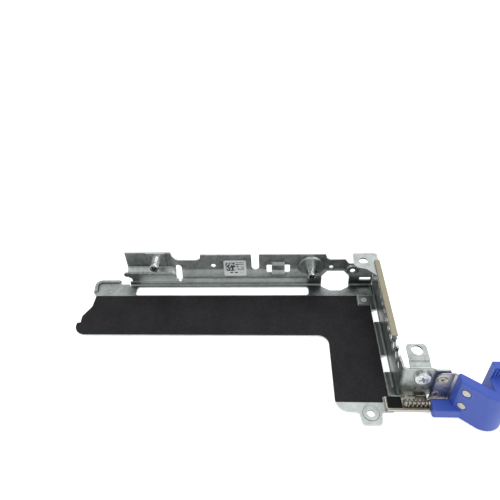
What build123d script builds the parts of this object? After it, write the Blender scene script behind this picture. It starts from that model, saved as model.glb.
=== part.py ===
"""Low-profile riser cage of a 1U server, lying on its floor.

A folded galvanised tray carries an insulating film, a joggled back wall with two
standoffs, a honeycomb end wall with a foam gasket, and a sprung blue card latch.
+X runs to the end wall, +Y to the back wall, +Z up. The origin is the centre of the
near fixing hole, on the underside of the sheet.
"""

import os

from build123d import *

# Sheet, film and clearances
SHEET = 1.0
BEND = 1.5
FILM = 0.25
GAP = 0.4
PIN_PLAY = 0.05

# Tray floor
LEG_LEFT = -18.0
LEG_RIGHT = 12.0
LEG_NEAR = 0.9
ARM_NEAR = 51.4
ARM_TIP = -176.6
INNER_CORNER = 6.5
TIP_CORNER = 8.0
TIP_STEP = 9.6
TIP_STEP_IN = 2.2
TIP_SHOULDER = 15.0
TIP_SHOULDER_IN = 1.6
TIP_NECK = 23.4
TIP_NECK_IN = 5.8
LEG_CORNER = 7.5
TAB_WIDTH = 10.0
TAB_REACH = 6.5
TAB_HOLE = 4.1
TAB_EMBOSS = 8.6
TAB_EMBOSS_HEIGHT = 0.3
SLOT_LEFT = -144.3
SLOT_RIGHT = -27.9
SLOT_NEAR = 85.2
SLOT_WIDTH = 7.8
SLOT_MARGIN = 0.8
RIM_LEFT = -175.4
RIM_RIGHT = -156.4
RIM_BEYOND_WALL = 4.4
RIM_WIDTH = 3.0
RIM_HEIGHT = 0.9
RIM_LEAN = 1.8

# Insulating film
FILM_RIGHT = 10.6
FILM_NEAR = 6.5

# Back wall
WALL_BEYOND_SLOT = 2.0
WALL_LEFT = -149.5
WALL_RIGHT = 14.2
JOGGLE = 2.0
JOGGLE_LOW = 7.5
JOGGLE_HIGH = 14.0
JOGGLE_BEND = 8.0
WALL_TOP = 26.2
LOW_TOP = 21.6
CORNER_TOP = 17.9
LEFT_PLATE_TOP = 27.0
LEFT_JOGGLE = 3.5
LEFT_LEDGE = 13.2
LEFT_LEDGE_SLOPE = 1.3
LEFT_PAD_LEFT = -135.5
LEFT_PAD_RIGHT = -122.2
LEFT_PAD_RAISE = 0.35
HOOK_Z = 10.4
HOOK_REACH = 1.2
HOOK_DIAMETER = 3.4
LEFT_PLATE_RIGHT = -119.0
MAIN_LEFT = -113.5
LOW_LEFT_END = -99.3
LOW_RIGHT_START = -15.8
CORNER_START = -3.2
NOTCH_X = -63.0
NOTCH_WIDTH = 5.0
NOTCH_BOTTOM = 13.1
SLIT_LOW = 3.8
SLIT_HIGH = 4.6
RELIEF_HOLE = 4.2
OBLONG_X = -114.5
OBLONG_WIDTH = 4.0
OBLONG_LOW = 5.6
OBLONG_HIGH = 17.4
OBLONG_NECK = 1.6
SMALL_HOLE_X = -90.9
SMALL_HOLE_Z = 16.8
SMALL_HOLE = 3.2
STRAP_X = -47.9
STRAP_WIDTH = 8.6
STRAP_RAISE = 1.4
STRAP_LOW = 9.2
STRAP_HIGH = 19.8
STRAP_SLOPE = 1.7
STRAP_BEND = 0.8
WINDOW_WIDTH = 3.4
WINDOW_LOW = 11.2
WINDOW_HIGH = 17.4
SIDE_HOLE_X = -13.1
SIDE_HOLE_Z = 15.2
SIDE_HOLE = 2.6
BOSS_X = 0.9
BOSS_Z = 12.6
BOSS_DIAMETER = 9.0
BOSS_HOLE = 3.4
END_SLOT_X = 9.4
END_SLOT_WIDTH = 7.4
END_SLOT_LOW = 5.2
END_SLOT_HIGH = 7.6
PORT_X = -10.2
PORT_WIDTH = 18.0
PORT_TOP = 12.2
PORT_CHAMFER = 3.6
PORT_DEPTH = 5.4
PORT_FLOOR_WIDTH = 7.0

# Standoffs
LEFT_STANDOFF_X = -128.0
LEFT_STANDOFF_Z = 22.8
LEFT_STANDOFF_LENGTH = 11.0
LEFT_STANDOFF_DIAMETER = 6.0
LEFT_STANDOFF_GROOVE = 5.0
LEFT_STANDOFF_RING = 2.4
GROOVE_WIDTH = 1.0
RIGHT_STANDOFF_X = -26.3
RIGHT_STANDOFF_Z = 15.9
RIGHT_STANDOFF_LENGTH = 9.0
RIGHT_STANDOFF_BASE = 7.0
RIGHT_STANDOFF_NECK = 4.8
RIGHT_STANDOFF_STEP = 4.4
STANDOFF_THREAD = 3.0
STANDOFF_THREAD_DEPTH = 6.0
STANDOFF_WALL = 1.0
STANDOFF_CHAMFER = 0.4
DISC_DIAMETER = 17.0
DISC_RAISE = 1.0

# Label
LABEL_X = -76.5
LABEL_WIDTH = 15.0
LABEL_LOW = 9.2
LABEL_HIGH = 21.4
LABEL_CORNER = 1.2
LABEL_THICKNESS = 0.15

# End wall
END_INNER = 14.4
END_NEAR = 10.0
END_SHORT_OF_WALL = 0.6
END_TOP = 27.0
FOOT_LEFT = 10.8
FOOT_TAB_LEFT = 3.4
FOOT_TAB_WIDTH = 8.0
FLANGE_LEFT = 11.0
FLANGE_NEAR = 29.5
FAR_TAB_LEFT = -0.5
FAR_TAB_WIDTH = 14.6
FAR_TAB_BEYOND_WALL = 2.2
FAR_TAB_HOLE = 5.4
FAR_TAB_HOLE_X = 5.6
FAR_TAB_HOLE_SETBACK = 5.0
BEND_SLOT_NEAR = 25.0
BEND_SLOT_NEAR_LENGTH = 11.0
BEND_SLOT_FAR = 61.4
BEND_SLOT_FAR_LENGTH = 9.9
BEND_SLOT_HEIGHT = 2.3
VENT_PITCH = 6.45
VENT_FLATS = 5.2
VENT_START = 18.6
VENT_COUNT = 9
VENT_ROWS = 2
VENT_LOW = 17.2
TOOLING_HOLE = 2.2
TOOLING_HOLE_Y = 13.7
TOOLING_HOLE_Z = 8.2

# Ledge plate at the end wall's near end
PLATE_RIGHT = 31.8
PLATE_BOTTOM = 2.0
PLATE_CORNER = 4.2
PLATE_TOP = 25.6
PLATE_EAR_RIGHT = 38.8
PLATE_EAR_LOW = 20.2
PLATE_EAR_TOP = 24.4
LEDGE_TAB_LEFT = 18.1
LEDGE_TAB_WIDTH = 10.4
LEDGE_TAB_FAR = 24.5
LEDGE_TAB_STEP = 1.0
LEDGE_TAB_JOGGLE = 14.6
LEDGE_TAB_HOLE = 5.9
LEDGE_TAB_HOLE_Y = 20.5
TONGUE_X = 23.0
TONGUE_WIDTH = 5.2
SCREW_X = 25.0
SCREW_Z = 19.5
SCREW_HEAD = 8.9
SCREW_HEAD_HEIGHT = 2.2
SCREW_HEAD_ROUND = 0.8
RECESS_LENGTH = 4.6
RECESS_WIDTH = 0.9
RECESS_DEPTH = 1.4
RECESS_TURN = 20
SCREW_SHANK = 4.0
SCREW_LENGTH = 6.0
DIMPLE_X = 25.7
DIMPLE_Z = 8.2
DIMPLE_DIAMETER = 4.4
DIMPLE_RAISE = 0.5

# Gasket
GASKET_WIDTH = 3.4
GASKET_HEIGHT = 1.5
GASKET_SHORT_OF_WALL = 5.3

# Latch base, pad and hinge
BASE_LEFT = 7.7
BASE_RIGHT = 30.2
BASE_NEAR = 1.1
BASE_FAR = 9.4
BASE_LIP = 1.0
EAR_THICKNESS = 0.8
EAR_LEFT = 17.6
EAR_WIDTH = 3.6
REAR_LIP_LEFT = 24.0
REAR_LIP_NEAR = 8.0
REAR_LIP_TOP = 4.8
FINGER_TIP_LEFT = 16.7
FINGER_TIP_WIDTH = 1.6
FINGER_TIP_TOP = 4.2
PAD_LENGTH = 7.4
PAD_HEIGHT = 1.2
PAD_CORNER = 1.2
HINGE_Y = 4.4
HINGE_Z = 4.2
PIN_DIAMETER = 2.0
PIN_HEAD = 3.0
PIN_HEAD_HEIGHT = 0.5
PIN_RIGHT = 42.0
COIL_DIAMETER = 4.2
COIL_WIRE = 0.7
WIRE_FLATS = 10
COIL_TURNS = 4.25
COIL_PITCH = 2.15
FIXED_LEG = 1.8
MOVING_LEG = 1.6
LEG_TIP = 1.9

# Latch leaf
LEAF_NEAR = 7.4
LEAF_THICKNESS = 0.8
LEAF_BOTTOM = 4.6
LEAF_TOP = 25.4
LEAF_LEFT = 31.2
LEAF_LEAN = 1.0
LEAF_CORNER = 3.2
LEAF_BEND = 0.6
LEAF_INSIDE = 7.0
RIDGE_LEFT = 36.0
RIDGE_RIGHT = 39.4
RIDGE_LOW = 12.4
RIDGE_HIGH = 14.6
RIDGE_WIDTH = 1.2
RIDGE_RAISE = 0.5
RIVET_HEAD = 4.2
RIVET_DOME = 0.5
RIVET_SHANK = 2.6
RIVET_SEAT = 5.4
RIVET_SEAT_DEPTH = 0.4
RIVET_HOLLOW = 1.6
RIVET_HOLLOW_DEPTH = 1.2
LEAF_RIVET_X = 33.2
LEAF_RIVET_LOW = 8.0
LEAF_RIVET_HIGH = 20.4

# Latch handle
HANDLE_LEFT = 40.3
HANDLE_NEAR = 1.4
HANDLE_TURN = 39.0
HANDLE_STRAIGHT = 13.0
HANDLE_THICKNESS = 5.2
HANDLE_BOTTOM = 0.6
HANDLE_TOP = 28.0
HANDLE_EDGE = 1.2
NOSE_RADIUS = 9.0
FOOT_BLOCK_LEFT = 30.6
FOOT_BLOCK_RIGHT = 46.0
FOOT_BLOCK_NEAR = -1.8
FOOT_BLOCK_TOP = 6.4
FOOT_BLOCK_EDGE = 1.2
BACKING_THICKNESS = 1.4
BACKING_LEFT = 31.8
BACKING_RISE = 2.6
BACKING_SETBACK = 1.4
FINGER_LEFT = 54.0
FINGER_NEAR = 3.8
FINGER_THICKNESS = 3.6
FINGER_TOP = 36.5
GRIP_RIBS = 4
GRIP_PITCH = 1.5
GRIP_DEPTH = 1.2
GRIP_EDGE = 0.6
HANDLE_RIVET_LOW = 10.5
HANDLE_RIVET_HIGH = 21.2
HANDLE_RIVET_ALONG = 3.6

# Worked-out places
ARM_FAR = SLOT_NEAR - SLOT_MARGIN
SLOT_FAR = SLOT_NEAR + SLOT_WIDTH
WALL_INNER = SLOT_FAR + WALL_BEYOND_SLOT
RIM_FAR = WALL_INNER + RIM_BEYOND_WALL
PORT_FLOOR = WALL_INNER - PORT_DEPTH
END_FAR = WALL_INNER - END_SHORT_OF_WALL
FAR_TAB_FAR = WALL_INNER + FAR_TAB_BEYOND_WALL
FAR_TAB_NEAR = FAR_TAB_FAR - FAR_TAB_WIDTH
FAR_TAB_HOLE_Y = WALL_INNER - FAR_TAB_HOLE_SETBACK
GASKET_FAR = WALL_INNER - GASKET_SHORT_OF_WALL
FLOOR_TOP = SHEET
FILM_TOP = FLOOR_TOP + FILM
FOOT_TOP = FLOOR_TOP + SHEET
WALL_UPPER = WALL_INNER + JOGGLE
LEFT_UPPER = WALL_INNER + LEFT_JOGGLE
LEFT_SEAT = LEFT_UPPER - LEFT_PAD_RAISE
RIGHT_SEAT = WALL_UPPER - DISC_RAISE
BASE_TOP = FOOT_TOP
END_OUTER = END_INNER + SHEET
PLATE_BACK = END_NEAR + SHEET

os.makedirs("parts", exist_ok=True)


def write(builder, name):
    """Label a finished piece and write it as one STEP file."""
    builder.part.label = name
    export_step(builder.part, f"parts/{name}.step")


def outline(corners):
    """Closed line through corners given as x, y and corner radius."""
    points = [(x, y) for x, y, radius in corners]
    FilletPolyline(*points, radius=[radius for x, y, radius in corners], close=True)


def arm_corners():
    """Left end and near edge of the arm, shared by the floor and the film."""
    return [
        (LEG_LEFT, ARM_NEAR, INNER_CORNER),
        (ARM_TIP, ARM_NEAR, TIP_CORNER),
        (ARM_TIP, ARM_NEAR + TIP_STEP, 0.8),
        (ARM_TIP + TIP_STEP_IN, ARM_NEAR + TIP_STEP, 0.4),
        (ARM_TIP + TIP_SHOULDER_IN, ARM_NEAR + TIP_SHOULDER, 3.0),
        (ARM_TIP + TIP_NECK_IN, ARM_NEAR + TIP_NECK, 4.0),
        (ARM_TIP + TIP_NECK_IN, ARM_FAR, 0.5),
    ]


def folded_strip(plane, points, radii, thickness=SHEET):
    """Section of a sheet folded along its middle line, as a sketch on a plane."""
    with BuildSketch(plane) as section:
        with BuildLine():
            FilletPolyline(*points, radius=radii)
        trace(line_width=thickness)
    return section.sketch


WALL_MIDDLE = WALL_INNER + SHEET / 2
MIDDLE_BEND = BEND + SHEET / 2


def left_wall(x):
    """Section of the back wall's left end, with a deep joggle, at one place along X."""
    points = [
        (ARM_FAR, SHEET / 2),
        (WALL_MIDDLE, SHEET / 2),
        (WALL_MIDDLE, LEFT_LEDGE - LEFT_LEDGE_SLOPE),
        (WALL_MIDDLE + LEFT_JOGGLE, LEFT_LEDGE + LEFT_LEDGE_SLOPE),
        (WALL_MIDDLE + LEFT_JOGGLE, LEFT_PLATE_TOP),
    ]
    return folded_strip(Plane.YZ.offset(x), points, [MIDDLE_BEND, MIDDLE_BEND, MIDDLE_BEND])


def main_wall(x):
    """Section of the rest of the back wall, with a shallow joggle, at one place along X."""
    points = [
        (ARM_FAR, SHEET / 2),
        (WALL_MIDDLE, SHEET / 2),
        (WALL_MIDDLE, JOGGLE_LOW),
        (WALL_MIDDLE + JOGGLE, JOGGLE_HIGH),
        (WALL_MIDDLE + JOGGLE, WALL_TOP),
    ]
    return folded_strip(Plane.YZ.offset(x), points, [MIDDLE_BEND, JOGGLE_BEND, JOGGLE_BEND])


WALL_VIEW = Plane.XZ.offset(-WALL_INNER + 1.0)
WALL_CUT = -(JOGGLE + LEFT_JOGGLE + SHEET + 2.0)
BEND_LINE = WALL_INNER - BEND
FOOT_TAB_FAR = ARM_FAR - GAP
FOOT_TAB_NEAR = FOOT_TAB_FAR - FOOT_TAB_WIDTH
FOOT_RIVET = (FOOT_TAB_LEFT + 3.8, FOOT_TAB_NEAR + FOOT_TAB_WIDTH / 2)
BASE_RIVET = (BASE_LEFT + 3.0, (BASE_NEAR + BASE_FAR) / 2)
RIVET_HOLE = 2.4
RIVET_FLARE = 3.4
RIVET_FLARE_DEPTH = 0.5

# Tray: floor, rim, near tab and joggled back wall from one sheet
with BuildPart() as tray:
    with BuildSketch():
        with BuildLine():
            outline(
                [
                    (LEG_LEFT, LEG_NEAR, LEG_CORNER),
                    (-TAB_WIDTH / 2 - 1.0, LEG_NEAR, 1.5),
                    (-TAB_WIDTH / 2, -TAB_REACH, 2.0),
                    (TAB_WIDTH / 2, -TAB_REACH, 2.0),
                    (TAB_WIDTH / 2 + 1.0, LEG_NEAR, 1.5),
                    (LEG_RIGHT, LEG_NEAR, 0.5),
                    (LEG_RIGHT, BEND_LINE, 0),
                    (WALL_LEFT, BEND_LINE, 0),
                    (WALL_LEFT - 1.0, BEND_LINE + 2.2, 0.8),
                    (RIM_RIGHT, BEND_LINE + 2.2, 0.5),
                    (RIM_RIGHT - 0.8, RIM_FAR, 0.8),
                    (RIM_LEFT, RIM_FAR, 5.0),
                    (RIM_LEFT + RIM_LEAN, ARM_FAR + RIM_WIDTH, 2.0),
                ]
                + arm_corners()[::-1]
            )
        make_face()
    extrude(amount=SHEET)
    # Rolled rim round the left end
    with BuildSketch(Plane.XY.offset(SHEET)):
        with BuildLine():
            FilletPolyline(
                (RIM_RIGHT - 1.2, RIM_FAR - RIM_WIDTH / 2),
                (RIM_LEFT + RIM_WIDTH / 2, RIM_FAR - RIM_WIDTH / 2),
                (RIM_LEFT + RIM_LEAN + RIM_WIDTH / 2, ARM_FAR + RIM_WIDTH + 0.8),
                radius=3.4,
            )
        trace(line_width=RIM_WIDTH - 0.2)
    extrude(amount=RIM_HEIGHT, taper=25)
    # Raised ring round the near fixing hole
    with BuildSketch(Plane.XY.offset(SHEET)):
        Circle(TAB_EMBOSS / 2)
    extrude(amount=TAB_EMBOSS_HEIGHT, taper=30)
    # Back wall: deep joggle at the left, shallow one along the rest
    extrude(left_wall(WALL_LEFT), amount=LEFT_PLATE_RIGHT - WALL_LEFT)
    loft([left_wall(LEFT_PLATE_RIGHT).faces()[0], main_wall(MAIN_LEFT).faces()[0]])
    extrude(main_wall(MAIN_LEFT), amount=WALL_RIGHT - MAIN_LEFT)
    # Raised pad under the left standoff, and the hook at the wall's left end
    with BuildSketch(Plane.XZ.offset(-LEFT_UPPER)):
        with Locations((LEFT_PAD_LEFT, LEFT_LEDGE + 2 * LEFT_LEDGE_SLOPE)):
            Rectangle(
                LEFT_PAD_RIGHT - LEFT_PAD_LEFT,
                LEFT_PLATE_TOP - LEFT_LEDGE - 2 * LEFT_LEDGE_SLOPE,
                align=(Align.MIN, Align.MIN),
            )
    extrude(amount=LEFT_PAD_RAISE, taper=30)
    with BuildSketch(Plane.XZ.offset(-WALL_INNER)):
        with Locations((WALL_LEFT - HOOK_REACH, HOOK_Z)):
            Circle(HOOK_DIAMETER / 2)
            Rectangle(2 * HOOK_REACH, HOOK_DIAMETER, align=(Align.MIN, Align.CENTER))
    extrude(amount=-SHEET)
    # Round emboss under the right standoff and boss by the end wall, pressed from behind
    for x, z, diameter in [
        (RIGHT_STANDOFF_X, RIGHT_STANDOFF_Z, DISC_DIAMETER),
        (BOSS_X, BOSS_Z, BOSS_DIAMETER),
    ]:
        with BuildSketch(Plane.XZ.offset(-WALL_UPPER)):
            with Locations((x, z)):
                Circle(diameter / 2)
        extrude(amount=DISC_RAISE, taper=40)
        with BuildSketch(Plane.XZ.offset(-WALL_UPPER - SHEET)):
            with Locations((x, z)):
                Circle(diameter / 2 - SHEET)
        extrude(amount=DISC_RAISE, taper=40, mode=Mode.SUBTRACT)
    # Long slot in the floor, bend slots and fixing holes
    with BuildSketch():
        with Locations(((SLOT_LEFT + SLOT_RIGHT) / 2, (SLOT_NEAR + SLOT_FAR) / 2)):
            RectangleRounded(SLOT_RIGHT - SLOT_LEFT, SLOT_WIDTH, 2.0)
        for near, length in [
            (BEND_SLOT_NEAR, BEND_SLOT_NEAR_LENGTH),
            (BEND_SLOT_FAR, BEND_SLOT_FAR_LENGTH),
        ]:
            with Locations((FILM_RIGHT, near)):
                Rectangle(LEG_RIGHT, length, align=(Align.MIN, Align.MIN))
        Circle(TAB_HOLE / 2)
        with Locations(FOOT_RIVET, BASE_RIVET):
            Circle(RIVET_HOLE / 2)
        with BuildLine():
            outline(
                [
                    (PORT_X - PORT_WIDTH / 2, WALL_INNER + 4.0, 0),
                    (PORT_X - PORT_WIDTH / 2, PORT_FLOOR + PORT_CHAMFER, 1.0),
                    (PORT_X - PORT_FLOOR_WIDTH / 2, PORT_FLOOR, 1.0),
                    (PORT_X + PORT_FLOOR_WIDTH / 2, PORT_FLOOR, 1.0),
                    (PORT_X + PORT_WIDTH / 2, PORT_FLOOR + PORT_CHAMFER, 1.0),
                    (PORT_X + PORT_WIDTH / 2, WALL_INNER + 4.0, 0),
                ]
            )
        make_face()
    extrude(amount=2 * SHEET, mode=Mode.SUBTRACT)
    # Rivet flares on the underside
    for x, y in [FOOT_RIVET, BASE_RIVET]:
        with BuildSketch():
            with Locations((x, y)):
                Circle(RIVET_FLARE / 2)
        extrude(amount=RIVET_FLARE_DEPTH, taper=45, mode=Mode.SUBTRACT)
    # Notches and openings of the back wall, drawn as seen from the near side
    with BuildSketch(WALL_VIEW):
        with BuildLine():
            outline(
                [
                    (LEFT_PLATE_RIGHT, LEFT_PLATE_TOP + 1.0, 0),
                    (LEFT_PLATE_RIGHT + 1.4, LOW_TOP, 3.5),
                    (LOW_LEFT_END, LOW_TOP, 3.0),
                    (LOW_LEFT_END + 0.4, LEFT_PLATE_TOP + 1.0, 0),
                ]
            )
        make_face()
        with BuildLine():
            outline(
                [
                    (LOW_RIGHT_START - 1.4, WALL_TOP + 1.0, 0),
                    (LOW_RIGHT_START, LOW_TOP, 2.5),
                    (CORNER_START - 1.0, LOW_TOP, 1.0),
                    (CORNER_START + 1.5, CORNER_TOP, 1.0),
                    (WALL_RIGHT + 1.0, CORNER_TOP, 0),
                    (WALL_RIGHT + 1.0, WALL_TOP + 1.0, 0),
                ]
            )
        make_face()
        with Locations((NOTCH_X, NOTCH_BOTTOM + NOTCH_WIDTH / 2)):
            Circle(NOTCH_WIDTH / 2)
            Rectangle(NOTCH_WIDTH, WALL_TOP, align=(Align.CENTER, Align.MIN))
        with Locations(((WALL_LEFT + OBLONG_X) / 2, (SLIT_LOW + SLIT_HIGH) / 2)):
            Rectangle(OBLONG_X - WALL_LEFT, SLIT_HIGH - SLIT_LOW)
        with Locations((WALL_LEFT, SLIT_LOW + RELIEF_HOLE / 2)):
            Circle(RELIEF_HOLE / 2)
        with Locations((OBLONG_X, (OBLONG_LOW + OBLONG_HIGH) / 2)):
            SlotOverall(OBLONG_HIGH - OBLONG_LOW, OBLONG_WIDTH, rotation=90)
        with Locations((OBLONG_X, SLIT_LOW)):
            Rectangle(OBLONG_NECK, OBLONG_LOW, align=(Align.CENTER, Align.MIN))
        with Locations((SMALL_HOLE_X, SMALL_HOLE_Z)):
            Circle(SMALL_HOLE / 2)
        with Locations((SIDE_HOLE_X, SIDE_HOLE_Z)):
            Circle(SIDE_HOLE / 2)
        with Locations((BOSS_X, BOSS_Z)):
            Circle(BOSS_HOLE / 2)
        with Locations((END_SLOT_X, (END_SLOT_LOW + END_SLOT_HIGH) / 2)):
            RectangleRounded(END_SLOT_WIDTH, END_SLOT_HIGH - END_SLOT_LOW, 0.4)
        with Locations((STRAP_X, (WINDOW_LOW + WINDOW_HIGH) / 2)):
            RectangleRounded(STRAP_WIDTH + 2 * WINDOW_WIDTH, WINDOW_HIGH - WINDOW_LOW, 0.6)
        with BuildLine():
            outline(
                [
                    (PORT_X - PORT_WIDTH / 2, SHEET, 0),
                    (PORT_X - PORT_WIDTH / 2, PORT_TOP - PORT_CHAMFER, 1.0),
                    (PORT_X - PORT_WIDTH / 2 + PORT_CHAMFER, PORT_TOP, 1.0),
                    (PORT_X + PORT_WIDTH / 2 - PORT_CHAMFER, PORT_TOP, 1.0),
                    (PORT_X + PORT_WIDTH / 2, PORT_TOP - PORT_CHAMFER, 1.0),
                    (PORT_X + PORT_WIDTH / 2, SHEET, 0),
                ]
            )
        make_face()
        with Locations((RIGHT_STANDOFF_X, RIGHT_STANDOFF_Z), (LEFT_STANDOFF_X, LEFT_STANDOFF_Z)):
            Circle(STANDOFF_THREAD / 2 + STANDOFF_WALL)
    extrude(amount=WALL_CUT, mode=Mode.SUBTRACT)
    # Strap lanced forward over its window
    strap_upper = WALL_UPPER + SHEET / 2
    strap_lower = strap_upper - JOGGLE * (JOGGLE_HIGH - STRAP_LOW) / (JOGGLE_HIGH - JOGGLE_LOW)
    strap = folded_strip(
        Plane.YZ.offset(STRAP_X - STRAP_WIDTH / 2),
        [
            (strap_upper, STRAP_HIGH),
            (strap_upper - STRAP_RAISE, STRAP_HIGH - STRAP_SLOPE),
            (strap_upper - STRAP_RAISE, JOGGLE_HIGH),
            (strap_lower + 0.4 - STRAP_RAISE, STRAP_LOW + STRAP_SLOPE),
            (strap_lower, STRAP_LOW),
        ],
        STRAP_BEND,
    )
    extrude(strap, amount=STRAP_WIDTH)
write(tray, "tray")

# End wall: foot, vented wall, top flange, far tab, ledge plate and joggled tab
END_MIDDLE = END_INNER + SHEET / 2
with BuildPart() as end_wall:
    wall_near = PLATE_BACK + 2 * BEND + SHEET
    wall_strip = folded_strip(
        Plane.XZ.offset(-wall_near),
        [
            (FOOT_LEFT, SHEET * 1.5),
            (END_MIDDLE, SHEET * 1.5),
            (END_MIDDLE, END_TOP - SHEET / 2),
            (FLANGE_LEFT, END_TOP - SHEET / 2),
        ],
        [BEND + SHEET / 2, BEND],
    )
    extrude(wall_strip, amount=-(END_FAR - wall_near))
    # Flange stops short of the near end, and the foot ends before the back bend
    with BuildSketch(Plane.XY.offset(END_TOP)):
        with Locations((END_OUTER + 1.0, 0)):
            Rectangle(END_OUTER, FLANGE_NEAR, align=(Align.MAX, Align.MIN))
    extrude(amount=-SHEET - BEND, mode=Mode.SUBTRACT)
    with BuildSketch():
        with Locations((FOOT_LEFT - 1.0, FOOT_TAB_FAR)):
            Rectangle(END_INNER - FOOT_LEFT + 1.0, END_FAR, align=(Align.MIN, Align.MIN))
    extrude(amount=FOOT_TOP + BEND, mode=Mode.SUBTRACT)
    # Bend out to the ledge plate
    with BuildSketch(Plane.XY.offset(PLATE_BOTTOM)):
        with BuildLine():
            FilletPolyline(
                (END_MIDDLE, wall_near + 0.5),
                (END_MIDDLE, END_NEAR + SHEET / 2),
                (END_OUTER + 2 * BEND, END_NEAR + SHEET / 2),
                radius=BEND + SHEET / 2,
            )
        trace(line_width=SHEET)
    extrude(amount=PLATE_TOP - PLATE_BOTTOM)
    with BuildSketch(Plane.XY.offset(FLOOR_TOP)):
        with Locations((FOOT_LEFT, END_NEAR)):
            Rectangle(
                END_OUTER + 2 * BEND - GAP - FOOT_LEFT,
                wall_near - END_NEAR,
                align=(Align.MIN, Align.MIN),
            )
    extrude(amount=SHEET)
    # Ledge plate with its ear towards the latch
    with BuildSketch(Plane.XZ.offset(-PLATE_BACK)):
        with BuildLine():
            outline(
                [
                    (END_OUTER + 2 * BEND, PLATE_BOTTOM, 0),
                    (PLATE_RIGHT, PLATE_BOTTOM, PLATE_CORNER),
                    (PLATE_RIGHT - 0.4, PLATE_EAR_LOW - 2.4, 2.0),
                    (PLATE_RIGHT + 1.4, PLATE_EAR_LOW, 2.0),
                    (PLATE_EAR_RIGHT, PLATE_EAR_LOW, 1.0),
                    (PLATE_EAR_RIGHT, PLATE_EAR_TOP, 1.5),
                    (PLATE_RIGHT - 0.6, PLATE_EAR_TOP, 1.0),
                    (PLATE_RIGHT - 2.6, PLATE_TOP, 0.5),
                    (END_OUTER + 2 * BEND, PLATE_TOP, 0),
                ]
            )
        make_face()
        with Locations((TONGUE_X, PLATE_BOTTOM + 1.0)):
            Rectangle(TONGUE_WIDTH, PLATE_BOTTOM + 1.0 - SHEET, align=(Align.CENTER, Align.MAX))
    extrude(amount=SHEET)
    # Half-moon dimple below the screw
    with BuildSketch(Plane.XZ.offset(-END_NEAR)):
        with Locations((DIMPLE_X, DIMPLE_Z)):
            Circle(DIMPLE_DIAMETER / 2)
            Rectangle(
                DIMPLE_DIAMETER, DIMPLE_DIAMETER, align=(Align.CENTER, Align.MAX), mode=Mode.SUBTRACT
            )
    extrude(amount=DIMPLE_RAISE, taper=20)
    # Joggled tab over the plate
    tab_section = folded_strip(
        Plane.YZ.offset(LEDGE_TAB_LEFT),
        [
            (END_NEAR + SHEET / 2, PLATE_TOP - 2 * BEND),
            (END_NEAR + SHEET / 2, PLATE_TOP + SHEET / 2),
            (LEDGE_TAB_JOGGLE - 0.4, PLATE_TOP + SHEET / 2),
            (LEDGE_TAB_JOGGLE + 0.4, PLATE_TOP + SHEET / 2 + LEDGE_TAB_STEP),
            (LEDGE_TAB_FAR, PLATE_TOP + SHEET / 2 + LEDGE_TAB_STEP),
        ],
        [BEND, 0.6, 0.6],
    )
    extrude(tab_section, amount=LEDGE_TAB_WIDTH)
    ledge_corners = [
        edge
        for edge in end_wall.edges().filter_by(Axis.Z)
        if abs(edge.center().Y - LEDGE_TAB_FAR) < 0.01 and edge.center().X > END_OUTER
    ]
    fillet(ledge_corners, 2.0)
    # Far fixing tab, level with the flange
    with BuildSketch(Plane.XY.offset(END_TOP - SHEET)):
        with BuildLine():
            outline(
                [
                    (END_INNER, FAR_TAB_NEAR - 8.0, 0),
                    (FLANGE_LEFT, FAR_TAB_NEAR - 6.0, 3.0),
                    (FLANGE_LEFT - 4.0, FAR_TAB_NEAR - 0.4, 4.0),
                    (FAR_TAB_LEFT + 2.0, FAR_TAB_NEAR + 1.0, 2.0),
                    (FAR_TAB_LEFT, FAR_TAB_NEAR + 4.0, 2.0),
                    (FAR_TAB_LEFT, FAR_TAB_FAR, 1.5),
                    (END_INNER, FAR_TAB_FAR, 1.0),
                ]
            )
        make_face()
    extrude(amount=SHEET)
    # Foot tab under the film's step
    with BuildSketch(Plane.XY.offset(FLOOR_TOP)):
        with Locations((FOOT_TAB_LEFT, FOOT_TAB_NEAR)):
            Rectangle(END_INNER - BEND - FOOT_TAB_LEFT, FOOT_TAB_WIDTH, align=(Align.MIN, Align.MIN))
    extrude(amount=SHEET)
    # Honeycomb vents in staggered rows
    row_pitch = VENT_PITCH * 3**0.5 / 2
    with BuildSketch(Plane.YZ.offset(END_INNER - 1.0)):
        for row in range(VENT_ROWS):
            for column in range(VENT_COUNT):
                y = VENT_START + (column + row % 2 / 2) * VENT_PITCH
                with Locations((y, VENT_LOW + row * row_pitch)):
                    RegularPolygon(VENT_FLATS / 2, 6, major_radius=False, rotation=30)
        with Locations((TOOLING_HOLE_Y, TOOLING_HOLE_Z)):
            Circle(TOOLING_HOLE / 2)
    extrude(amount=SHEET + 2.0, mode=Mode.SUBTRACT)
    # Openings at the foot bend
    with BuildSketch():
        for near, length in [
            (BEND_SLOT_NEAR, BEND_SLOT_NEAR_LENGTH),
            (BEND_SLOT_FAR, BEND_SLOT_FAR_LENGTH),
        ]:
            with Locations((FOOT_LEFT - 1.0, near)):
                Rectangle(END_OUTER - FOOT_LEFT + 2.0, length, align=(Align.MIN, Align.MIN))
    extrude(amount=BEND_SLOT_HEIGHT, mode=Mode.SUBTRACT)
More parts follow.
